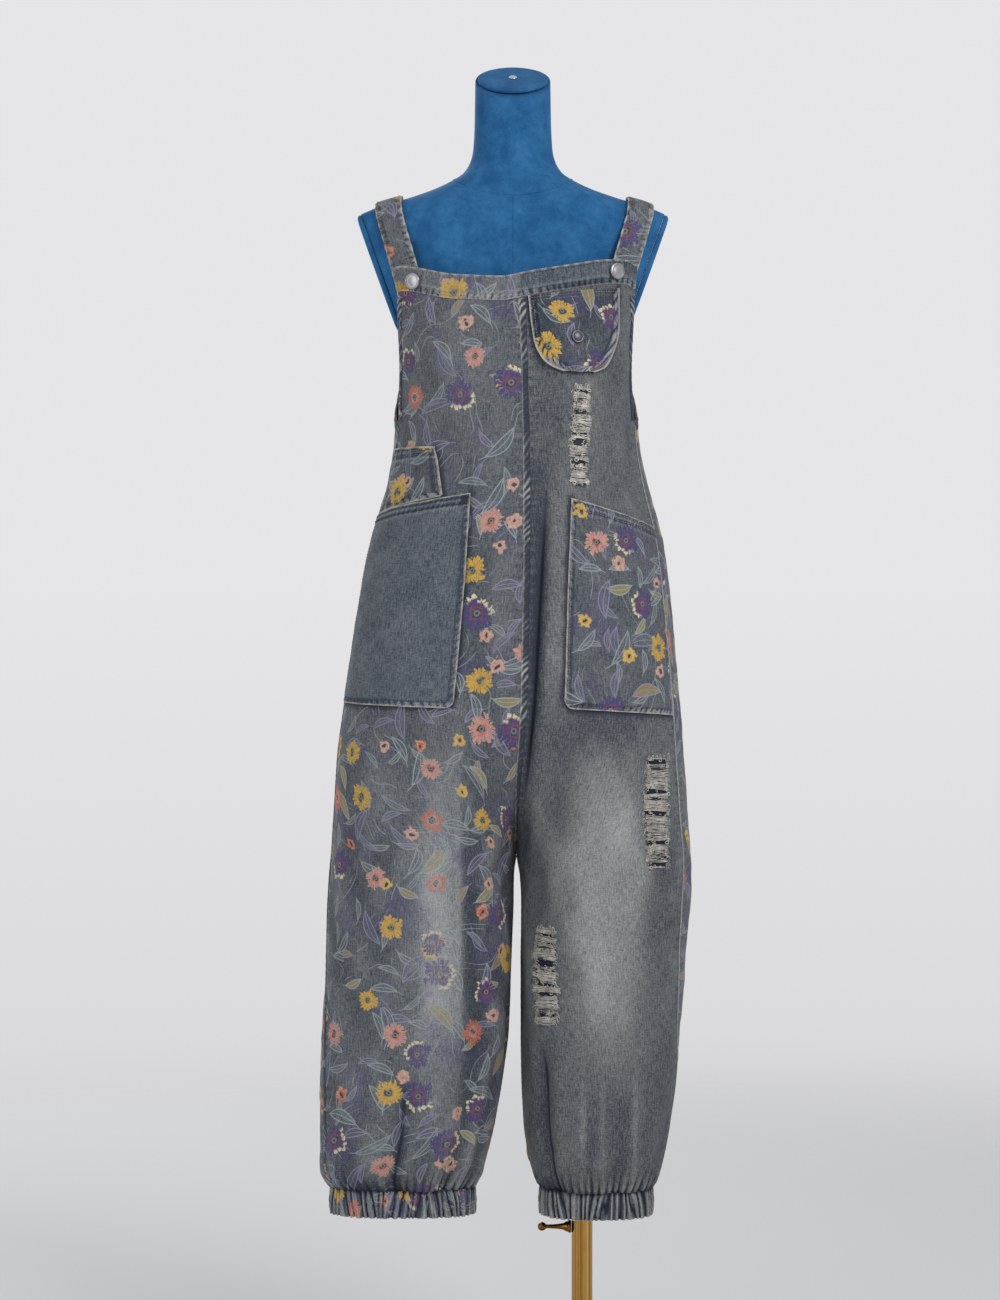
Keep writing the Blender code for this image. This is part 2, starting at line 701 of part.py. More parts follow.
def add_strap(side, finish):
    half = STRAP_WIDTH / 2
    lines = [taut_line(side, offset) for offset in np.linspace(-half, half, STRAP_LINES)]
    outer, inner = [], []
    for i, row in enumerate(zip(*lines)):
        low, high = max(i - 1, 0), min(i + 1, STRAP_STATIONS - 1)
        run = lines[1][high] - lines[1][low]
        up = (row[-1] - row[0]).cross(run).normalized()
        inner.append(list(row))
        outer.append([p + STRAP_WALL * up for p in row])
    wall("strap_" + side_name(side), outer, inner, finish)


def surface_place(side, x, z, out):
    """A matrix that stands a turned piece on the front panel at X and a height."""
    share = share_at(side, FRONT, z, x)
    normal = cloth_normal(side, FRONT, z, share)
    spot = cloth_point(side, FRONT, z, share) + out * normal
    return Matrix.Translation(spot) @ normal.to_track_quat("Z", "Y").to_matrix().to_4x4()


# ---------------------------------------------------------------------------- the form
def arm_plane(z):
    """X of the flat shoulder ends at a height."""
    return ARM_PLANE_X - (ARM_PLANE_Z - z) * ARM_PLANE_SLOPE


def add_torso():
    angles = np.linspace(0, 2 * math.pi, FORM_SIDES, endpoint=False)
    c, s = superellipse(angles, FORM_POWER)
    heights = list(FORM["z"])
    heights += [(a + b) / 2 for a, b in zip(heights, heights[1:]) if b - a > 0.030]
    rings = []
    for z in sorted(heights):
        x = read(FORM, "half_width", z) * c
        y = np.where(s < 0, read(FORM, "front", z), read(FORM, "back", z)) * s
        if z > 1.29:
            x = np.clip(x, -arm_plane(z), arm_plane(z))
        raised = ease((z - NECK_SLANT_FROM_Z) / (1.572 - NECK_SLANT_FROM_Z))
        top = NECK_TOP_Z - 1.572
        rings.append(
            [
                (FORM_X + px, py, z + raised * (top + py * math.tan(NECK_SLANT)))
                for px, py in zip(x, y)
            ]
        )
    loft("form_torso", rings, "velvet")


def add_neck_cap():
    slant = Matrix.Rotation(NECK_SLANT, 4, "X")
    place = Matrix.Translation((FORM_X, 0, NECK_TOP_Z)) @ slant
    lip = CAP_RADIUS * 1000
    profile = (
        (0, 0.5), (lip - 1, 0.5), (lip, 1.5), (lip, 3.4), (lip - 1.2, 4.5), (0, 4.9),
    )  # fmt: skip
    revolve("neck_cap", profile, "velvet", place, 40)
    screw = ((0, 5.3), (3.4, 5.3), (4.6, 5.6), (4.4, 6.6), (2.4, 7.4), (0, 7.6))
    revolve("cap_screw", screw, "steel", place, 20)


def add_arm_plate(side):
    """A flat cover with the outline of the form's cut shoulder end."""
    outlines = {FRONT: [], BACK: []}
    for z in np.linspace(1.300, 1.4375, 14):
        for face in outlines:
            depth = form_depth(face, arm_plane(z), z)
            if depth is not None and depth > 0.004:
                outlines[face].append((face * depth, z))
    edge = outlines[FRONT] + outlines[BACK][::-1]
    run = Vector((1, 0, -ARM_PLANE_SLOPE)).normalized()
    run.x *= side
    middle = Vector((0, 0, sum(z for _, z in edge) / len(edge)))
    rings = []
    for out, shrink in ((GAP, 0.985), (0.0012, 1.0), (ARM_PLATE - 0.0015, 1.0), (ARM_PLATE, 0.97)):
        ring = []
        for y, z in edge:
            height = middle.z + (z - middle.z) * shrink
            flat = Vector((FORM_X + side * arm_plane(height), y * shrink, height))
            ring.append(flat + out * run)
        rings.append(ring)
    loft("arm_plate_" + side_name(side), rings, "velvet")


# ---------------------------------------------------------------------------- the stand
def add_stand():
    bottom = FORM["z"][0] / MM
    pole = POLE_RADIUS / MM
    flange = FLANGE_RADIUS / MM
    under = bottom - GAP / MM
    revolve(
        "inner_pole",
        (
            (0, POLE_FOOT_Z / MM), (pole - 1, POLE_FOOT_Z / MM), (pole, POLE_FOOT_Z / MM + 1),
            (pole, under - 10), (pole + 4, under - 6), (flange - 1, under - 6), (flange, under - 5),
            (flange, under), (0, under),
        ),
        "brass",
    )  # fmt: skip
    tube, bore, top = TUBE_RADIUS / MM, TUBE_BORE / MM, TUBE_TOP_Z / MM
    foot = (BASE_THICKNESS + 0.006) / MM
    revolve(
        "outer_tube",
        (
            (bore, foot), (tube, foot), (tube, top - 1), (tube - 0.6, top), (bore + 0.3, top),
            (bore, top - 0.6), (bore, foot),
        ),
        "brass",
    )  # fmt: skip
    thick, wide = BASE_THICKNESS / MM, BASE_RADIUS / MM
    hub_r, hub_h = BASE_HUB[0] / MM, BASE_HUB[1] / MM
    socket = tube + GAP / MM
    revolve(
        "stand_base",
        (
            (0, 0), (wide - 1.5, 0), (wide, 1.5), (wide, thick - 2.5), (wide - 2, thick - 1),
            (wide - 30, thick), (hub_r + 4, thick), (hub_r, thick + 3), (hub_r - 1, thick + hub_h),
            (hub_r - 3, thick + hub_h + 1.5), (socket, thick + hub_h + 1.5),
            (socket, foot - GAP / MM), (0, foot - GAP / MM),
        ),
        "brass",
        steps=48,
    )  # fmt: skip
    turn = Matrix.Translation((0, 0, CLAMP_Z)) @ Matrix.Rotation(-math.pi / 2, 4, "Y")
    points = tuple((r, h) for h, r in CLAMP_PROFILE)
    profile = ((0, CLAMP_PROFILE[0][0]),) + points + ((0, CLAMP_PROFILE[-1][0] + 0.8),)
    revolve("clamp_screw", profile, "brass", turn, 24)


def main():
    clear_scene()
    printed, plain = "printed_denim", "plain_denim"
    add_torso()
    add_neck_cap()
    for side in (RIGHT, LEFT):
        add_arm_plate(side)
        add_front(side, printed if side == RIGHT else plain)
        add_back(side, printed)
        add_strap(side, printed)
        add_cuff(side, printed if side == RIGHT else plain)
        x, z = (value * MM for value in BUTTONS[side])
        revolve(
            "bib_button_" + side_name(side),
            BUTTON_PROFILE,
            "nickel",
            surface_place(side, x, z, GAP),
            24,
        )
    add_pocket("big_pocket_right", RIGHT, BIG_POCKET_RIGHT, POCKET_CELLS, plain, pillow)
    add_pocket("big_pocket_left", LEFT, BIG_POCKET_LEFT, POCKET_CELLS, printed, pillow)
    add_pocket(
        "ticket_pocket_right", RIGHT, TICKET_POCKET, TICKET_CELLS, printed, lambda *_: 0.0004
    )
    add_flap(printed)
    x, z = (value * MM for value in SNAP_PLACE)
    out = FLAP_SEAT + FLAP_STAND * ease(SNAP_DOWN) + POCKET_WALL + 2 * GAP
    revolve("flap_snap", SNAP_PROFILE, "dark_metal", surface_place(LEFT, x, z, out), 24)
    add_stand()


main()
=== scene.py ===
"""Looks of the harem jumpsuit of printed and plain denim, on its velvet dress form and stand.

Metres, Z up, the front towards -Y. "Right" and "left" are the wearer's, so the right side is at
-X. The tables give millimetres, with X from the form's middle plane, FORM_X. A "share" runs round
a panel from its side seam, 0, to its centre seam or inseam, 1.
"""

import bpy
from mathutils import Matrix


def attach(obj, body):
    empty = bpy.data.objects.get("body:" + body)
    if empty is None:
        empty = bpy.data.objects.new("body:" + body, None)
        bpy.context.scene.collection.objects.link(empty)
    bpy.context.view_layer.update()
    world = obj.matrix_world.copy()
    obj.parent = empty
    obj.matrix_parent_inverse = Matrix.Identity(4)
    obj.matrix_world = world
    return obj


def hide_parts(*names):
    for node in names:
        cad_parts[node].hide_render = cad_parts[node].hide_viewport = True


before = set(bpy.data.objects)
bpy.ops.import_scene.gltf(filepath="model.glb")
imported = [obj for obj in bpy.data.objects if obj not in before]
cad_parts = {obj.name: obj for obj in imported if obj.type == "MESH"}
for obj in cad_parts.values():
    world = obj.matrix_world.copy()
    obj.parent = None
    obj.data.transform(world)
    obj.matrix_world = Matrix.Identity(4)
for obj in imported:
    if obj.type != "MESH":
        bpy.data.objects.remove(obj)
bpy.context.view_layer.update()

import ast
import logging
import math
from collections.abc import Sequence
from dataclasses import dataclass, field
from enum import Enum, IntEnum

import bpy
import numpy as np
from mathutils import Matrix, Vector

LOG = logging.getLogger("jumpsuit")
Array = np.ndarray
Draw = np.random.Generator
Socket = bpy.types.NodeSocket
MM = 0.001
GAP = 0.0003
FORM_X = -0.083


class Side(IntEnum):
    """The wearer's sides, as the sign of X."""

    RIGHT = -1
    LEFT = 1


class Face(IntEnum):
    """The garment's faces, as the sign of Y."""

    FRONT = -1
    BACK = 1


# ---------------------------------------------------------------------------- curves and tables
def ease(u: Array | float) -> Array:
    """A smooth step from 0 to 1 as u goes from 0 to 1."""
    u = np.clip(u, 0.0, 1.0)
    return u * u * (3 - 2 * u)


def curve_through(xs: Array, ys: Array, x: Array | float) -> Array:
    """Reads a smooth curve that never overshoots its points, held level past its ends.

    Args:
        xs: The points' rising positions.
        ys: Their values.
        x: Where to read it.

    Returns:
        The values at x.
    """
    rises = np.diff(ys) / np.diff(xs)
    level = rises[:-1] * rises[1:] <= 0
    sums = np.where(level, 1.0, rises[:-1] + rises[1:])
    between = np.where(level, 0.0, 2 * rises[:-1] * rises[1:] / sums)
    slopes = np.concatenate([rises[:1], between, rises[-1:]])
    i = np.clip(np.searchsorted(xs, x) - 1, 0, len(xs) - 2)
    step = xs[i + 1] - xs[i]
    u = np.clip((x - xs[i]) / step, 0, 1)
    return (
        ys[i] * (1 + 2 * u) * (1 - u) ** 2
        + ys[i + 1] * u * u * (3 - 2 * u)
        + step * (slopes[i] * u * (1 - u) ** 2 - slopes[i + 1] * u * u * (1 - u))
    )


def superellipse(angles: Array, power: float) -> tuple[Array, Array]:
    """Cosine and sine of the angles, pushed out towards a square's corners."""
    c, s = np.cos(angles), np.sin(angles)
    return np.sign(c) * np.abs(c) ** (2 / power), np.sign(s) * np.abs(s) ** (2 / power)


def ripple(u: Array, v: Array, seed: int, longest: float, steep: float = 0.5) -> Array:
    """Uneven soft waves, about -1 to 1.

    Args:
        u: Places across, in metres.
        v: Places along, in metres.
        seed: Picks the waves.
        longest: The longest wave, in metres.
        steep: How far the waves turn from running along v.

    Returns:
        The waves' height at each place.
    """
    draw = np.random.default_rng(seed)
    total = np.zeros(np.broadcast(u, v).shape)
    for _ in range(7):
        angle = draw.uniform(-steep, steep)
        wave = 2 * math.pi / (longest * draw.uniform(0.35, 1.0))
        phase = draw.uniform(0, 2 * math.pi)
        total = total + np.sin((u * math.cos(angle) + v * math.sin(angle)) * wave + phase)
    return total / 3.2


def unit(vectors: Array) -> Array:
    """The vectors at length 1."""
    return vectors / np.maximum(np.linalg.norm(vectors, axis=-1, keepdims=True), 1e-12)


def bell(away: Array, width: float) -> Array:
    """A rounded bump, 1 where away is 0 and next to nothing two widths off."""
    return np.exp(-((away / width) ** 2))


def gone_along(line: Array) -> Array:
    """How far along a line of points each of them is."""
    steps = np.linalg.norm(np.diff(line, axis=0), axis=1)
    return np.concatenate([[0.0], np.cumsum(steps)])


def read_line(line: Array, gone: Array, wanted: Array) -> Array:
    """Reads a line, or directions along it, at distances from its start.

    Args:
        line: A row for each of its points.
        gone: How far along it each point is.
        wanted: The distances to read it at.

    Returns:
        A row for each distance.
    """
    return np.stack([np.interp(wanted, gone, column) for column in line.T], axis=-1)


@dataclass(frozen=True)
class Table:
    """Sizes at heights: the first column is the height, and all are in millimetres."""

    columns: tuple[str, ...]
    rows: tuple[tuple[float, ...], ...]

    def read(self, column: str, z: Array | float) -> Array:
        """The column's value at the heights z, in metres."""
        values = np.array(sorted(self.rows), float) * MM
        return curve_through(values[:, 0], values[:, self.columns.index(column)], z)


# ---------------------------------------------------------------------------- the jumpsuit's cut
BODY = Table(
    ("z", "right", "left", "front", "back", "drift"),
    (
        (1400, 166, 171, 112, 110, 8), (1372, 166, 171, 118, 113, 8),
        (1300, 146, 151, 127, 117, 11), (1240, 141, 146, 132, 119, 13),
        (1188, 141, 149, 134, 121, 14), (1157, 143, 152, 135, 122, 15),
        (1108, 152, 163, 137, 126, 15.5), (1042, 171, 180, 140, 133, 15.5),
        (952, 187, 191, 143, 141, 14), (856, 201, 200, 144, 145, 12),
        (786, 210, 205, 140, 143, 8), (736, 213, 209, 133, 138, 5),
        (676, 217, 212, 122, 126, 4.2),
    ),
)  # fmt: skip
LEG_COLUMNS = ("z", "outer", "inner", "front", "back")
LEGS = {
    Side.RIGHT: Table(
        LEG_COLUMNS,
        (
            (880, -201, 4.05, 144, 145), (786, -210, 4.05, 138, 142), (736, -213, 4.05, 130, 134),
            (676, -217, 4.05, 118, 117), (648, -219.5, 0.6, 113, 109), (610, -222, 0, 106, 100),
            (544, -224, -2.4, 97, 90), (463, -228.5, -5.5, 88, 82), (426, -230.5, -9.6, 84, 78),
            (350, -231.5, -22, 80, 76), (312, -231, -31, 73, 70), (292, -229, -37, 62, 59),
            (280, -224, -42, 52, 49), (272, -218, -46, 44, 42),
        ),
    ),
    Side.LEFT: Table(
        LEG_COLUMNS,
        (
            (880, 201, 4.35, 144, 145), (786, 205, 4.35, 138, 142), (736, 209, 4.35, 130, 134),
            (676, 212.5, 4.35, 120, 118), (648, 213, 9, 116, 112), (610, 212, 10.8, 110, 106),
            (544, 207, 10, 103, 98), (463, 199, 10.2, 96, 92), (426, 198, 10.5, 93, 90),
            (350, 188, 13.5, 88, 86), (312, 181, 19, 80, 78), (292, 176, 24, 70, 68),
            (280, 172, 28, 62, 60), (272, 168, 32, 56, 54),
        ),
    ),
}  # fmt: skip
SIDE_SEAMS = Table(
    ("z", "right", "left"),
    (
        (1400, 75, 75), (1345, 71, 71), (1300, 54, 54), (1240, 48, 48), (1188, 45, 47),
        (1100, 34, 58), (1000, 24, 61), (860, 16, 61), (676, 15, 62), (580, 18, 58),
        (463, 30, 32), (350, 35, 16), (272, 22, 8),
    ),
)  # fmt: skip
TOP_EDGE = Table(
    ("x", "z"),
    (
        (-142, 1366), (-136, 1366), (-68, 1353), (-14, 1350), (17, 1355.5), (66, 1364),
        (109, 1371.5), (132, 1373), (141, 1369),
    ),
)  # fmt: skip
ARMHOLE = Table(("z", "share"), ((1184, 0), (1192, 120), (1210, 230), (1250, 360), (1312, 430)))
BODY_POWER, LEG_POWER, RISE_POWER = 2.3, 2.2, 2.2
CROTCH_Z, RISE_TOP_Z = 0.676, 0.872
ARMHOLE_Z, BACK_TOP_Z = 1.184, 1.312
CUFF_TOP_Z, CUFF_HEM_Z = 0.2735, 0.2415
BAND_DEPTH = 0.029
FORM_FOOT_Z = 0.803
DENIM_WALL = 0.0016
RUBBED = 0.0016  # how far in from a turned edge the cloth is rubbed bare
FOLD_MARGIN = 0.012  # how near a seam the folds and creases come
FOLDS_RUN_ON = 0.300  # folds that end below this run on into the cuff
GATHER_PITCH = 0.0082  # from gather to gather along a drawn-up edge
SIDE_NAMES = {Side.RIGHT: "right", Side.LEFT: "left"}


@dataclass(frozen=True)
class Fold:
    """A trough down a panel between two heights, in millimetres; a depth under 0 is a ridge."""

    z_top: float
    share_top: float
    z_mid: float
    share_mid: float
    z_low: float
    share_low: float
    depth: float
    width: float
    lean: float = 0.0  # how far the cloth beside it laps over it

    def push(self, z: Array, share: Array, length: Array) -> tuple[Array, Array, Array]:
        """Works out how it moves the cloth.

        Args:
            z: Heights.
            share: Shares of the way round.
            length: The panel's width there, in metres.

        Returns:
            How far out, how far towards the side seam, and the painted shade along its lapped inner
            line.
        """
        heights = np.array([self.z_low, self.z_mid, self.z_top]) * MM
        at = curve_through(heights, np.array([self.share_low, self.share_mid, self.share_top]), z)
        ends = 0.3 * (heights[2] - heights[0])
        fade = ease((heights[2] - z) / ends)
        if self.z_low * MM > FOLDS_RUN_ON:
            fade = fade * ease((z - heights[0]) / ends)
        fade = fade * ease(np.minimum(share, 1 - share) * length / FOLD_MARGIN)
        away = (share - at) * length / (self.width * MM)
        lapped = self.lean * MM * fade * bell(away + 1.1, 0.9)
        # Painted shade along the fold's inner line, where the cloth beside it laps over.
        line = (self.lean > 0) * fade * bell(away + 0.1, 0.24)
        return -self.depth * MM * fade * np.exp(-away * away), lapped, line


# The deep folds, which the solids have too.
FOLDS = {
    (Side.LEFT, Face.FRONT): (
        (1140, 0.862, 950, 0.915, 700, 0.965, 13, 9, 4),
        (1130, 0.790, 950, 0.840, 740, 0.890, -5, 22),
        (470, 0.740, 370, 0.735, 276, 0.730, 9, 12, 3),
        (420, 0.560, 340, 0.555, 276, 0.550, -5, 16), (400, 0.380, 330, 0.375, 276, 0.370, 5, 15),
    ),
    (Side.RIGHT, Face.FRONT): (
        (1120, 0.900, 950, 0.920, 760, 0.930, -4, 20), (620, 0.720, 450, 0.735, 276, 0.700, 7, 13),
        (420, 0.420, 340, 0.415, 276, 0.410, 8, 13, 3),
        (400, 0.560, 330, 0.560, 276, 0.560, -5, 16),
    ),
    (Side.LEFT, Face.BACK): (
        (1130, 0.700, 900, 0.640, 620, 0.520, 7, 20), (900, 0.300, 700, 0.330, 480, 0.360, 6, 20),
        (430, 0.600, 340, 0.590, 276, 0.580, 8, 15), (430, 0.300, 340, 0.290, 276, 0.280, 6, 15),
    ),
    (Side.RIGHT, Face.BACK): (
        (1130, 0.720, 900, 0.660, 640, 0.540, 7, 20), (880, 0.280, 680, 0.330, 460, 0.350, 6, 20),
        (430, 0.640, 340, 0.630, 276, 0.620, 8, 15), (430, 0.360, 340, 0.350, 276, 0.340, 6, 15),
    ),
}  # fmt: skip
# Softer straight creases: height and share at the top and the foot, depth and width.
CREASES = {
    (Side.LEFT, Face.FRONT): (
        (1000, 0.56, 790, 0.66, 2, 14), (860, 0.30, 640, 0.37, -2, 18),
        (840, 0.48, 520, 0.52, -2.2, 22), (780, 0.70, 500, 0.70, 1.8, 16),
        (640, 0.18, 450, 0.26, 2, 15), (560, 0.88, 330, 0.85, 2.2, 12),
        (520, 0.42, 320, 0.47, 1.8, 12), (470, 0.64, 276, 0.66, -2.6, 9),
        (450, 0.48, 276, 0.46, -2.4, 8), (430, 0.30, 276, 0.28, -2, 9),
        (380, 0.88, 276, 0.86, 2.6, 8), (360, 0.15, 276, 0.17, 2.4, 8),
        (1290, 0.25, 1100, 0.42, 1.4, 16), (1230, 0.08, 1080, 0.26, 1.5, 12),
        (740, 0.94, 640, 0.76, 1.8, 11), (716, 0.96, 610, 0.83, 1.4, 9),
    ),
    (Side.RIGHT, Face.FRONT): (
        (1290, 0.30, 1110, 0.52, 1.6, 16), (1230, 0.08, 1090, 0.28, 1.6, 12),
        (1080, 0.76, 820, 0.80, 1.6, 14), (840, 0.35, 610, 0.42, -2.2, 18),
        (800, 0.62, 540, 0.61, 2, 16), (760, 0.20, 520, 0.23, 1.8, 14),
        (700, 0.86, 480, 0.80, 2.2, 13), (780, 0.73, 440, 0.72, -2.6, 7),
        (480, 0.30, 300, 0.28, -2.4, 11), (470, 0.86, 276, 0.83, 2.6, 10),
        (430, 0.64, 276, 0.63, -2.4, 9), (400, 0.20, 276, 0.18, 2.6, 9),
        (370, 0.50, 276, 0.49, 2.4, 7), (360, 0.78, 276, 0.77, -2.4, 8),
        (740, 0.94, 640, 0.76, 1.8, 11), (710, 0.96, 600, 0.82, 1.4, 9),
    ),
    (Side.LEFT, Face.BACK): (
        (1120, 0.40, 860, 0.34, 2.6, 17), (1060, 0.88, 860, 0.76, 2.2, 14),
        (820, 0.86, 700, 0.62, 3, 15), (760, 0.90, 650, 0.62, 2.6, 12),
        (640, 0.76, 420, 0.72, 2.4, 15), (560, 0.20, 360, 0.18, -2.6, 16),
        (400, 0.82, 276, 0.80, 3, 10), (380, 0.45, 276, 0.44, -2.8, 10),
        (360, 0.15, 276, 0.15, 2.6, 9), (350, 0.70, 276, 0.69, -2.4, 9),
    ),
    (Side.RIGHT, Face.BACK): (
        (1110, 0.42, 850, 0.35, 2.6, 17), (1050, 0.90, 850, 0.78, 2.2, 14),
        (830, 0.87, 700, 0.63, 3, 15), (750, 0.91, 640, 0.64, 2.6, 12),
        (650, 0.74, 430, 0.71, 2.4, 15), (570, 0.18, 370, 0.20, -2.6, 16),
        (400, 0.84, 276, 0.82, 3, 10), (380, 0.50, 276, 0.49, -2.8, 10),
        (360, 0.22, 276, 0.21, 2.6, 9), (350, 0.74, 276, 0.73, -2.4, 9),
    ),
}  # fmt: skip


@dataclass(frozen=True)
class Wash:
    """A place sanded pale, or darker where its strength is under 0: its middle and half sizes, in
    millimetres.
    """

    x: float
    z: float
    half_x: float
    half_z: float
    strength: float
    power: float = 2.4

    def at(self, x: Array, z: Array) -> Array:
        """How much paler or darker the cloth is at X from the form's middle and a height, in
        metres.

        Args:
            x: X from the form's middle.
            z: Heights.

        Returns:
            How much to add to the fade.
        """
        across = np.abs(x / MM - self.x) / self.half_x
        up = np.abs(z / MM - self.z) / self.half_z
        return self.strength * np.exp(-(across**self.power) - up**self.power)


# Those under 0 are darker; the two beside the centre seam on the plain front are painted shade of
# its deep fold.
WASHES_AND_SHADES = {
    (Side.LEFT, Face.FRONT): (
        Wash(110, 606, 45, 160, 0.98, 3.0), Wash(70, 1150, 34, 110, 0.14),
        Wash(28, 480, 22, 265, 0.12, 4.5), Wash(14, 850, 12, 200, -0.30),
        Wash(26, 1000, 13, 150, -0.42, 3.0), Wash(110, 820, 62, 45, -0.36),
        Wash(115, 350, 80, 90, -0.20, 3.0), Wash(180, 520, 26, 190, -0.18),
        Wash(82, 356, 3.5, 52, 0.50), Wash(105, 366, 3, 46, 0.34), Wash(143, 358, 3.5, 50, 0.50),
        Wash(40, 1170, 22, 70, -0.30), Wash(22, 430, 30, 130, -0.30, 4.5),
        Wash(62, 940, 10, 90, 0.22),
    ),
    (Side.RIGHT, Face.FRONT): (
        Wash(-84, 600, 22, 165, 1.45, 3.0), Wash(-120, 560, 34, 130, 0.30),
        Wash(-64, 600, 4, 165, 0.7), Wash(-44, 560, 17, 190, -0.38), Wash(-70, 1240, 50, 70, 0.25),
        Wash(-150, 640, 26, 180, -0.10),
    ),
    (Side.LEFT, Face.BACK): (Wash(95, 905, 48, 80, 0.55), Wash(105, 560, 40, 160, 0.45)),
    (Side.RIGHT, Face.BACK): (Wash(-95, 905, 48, 80, 0.55), Wash(-115, 560, 40, 160, 0.45)),
}  # fmt: skip


def gathers(g: Array, seed: float) -> Array:
    """Uneven rounded pleats with narrow troughs, 0 to 1, along g in metres.

    Args:
        g: Distances along the gathered edge.
        seed: Picks the unevenness.

    Returns:
        The pleats' height.
    """
    bent = g + 0.0022 * np.sin(g / 0.017 + seed) + 0.0013 * np.sin(g / 0.0071 + 2.3 * seed)
    tall = 0.72 + 0.28 * np.sin(g / 0.031 + 1.7 * seed)
    return tall * np.abs(np.sin(math.pi * bent / GATHER_PITCH)) ** 0.65


def gather_seed(side: Side, face: Face) -> int:
    """What makes each panel's gathers and waves its own."""
    return 10 * side + 3 * face


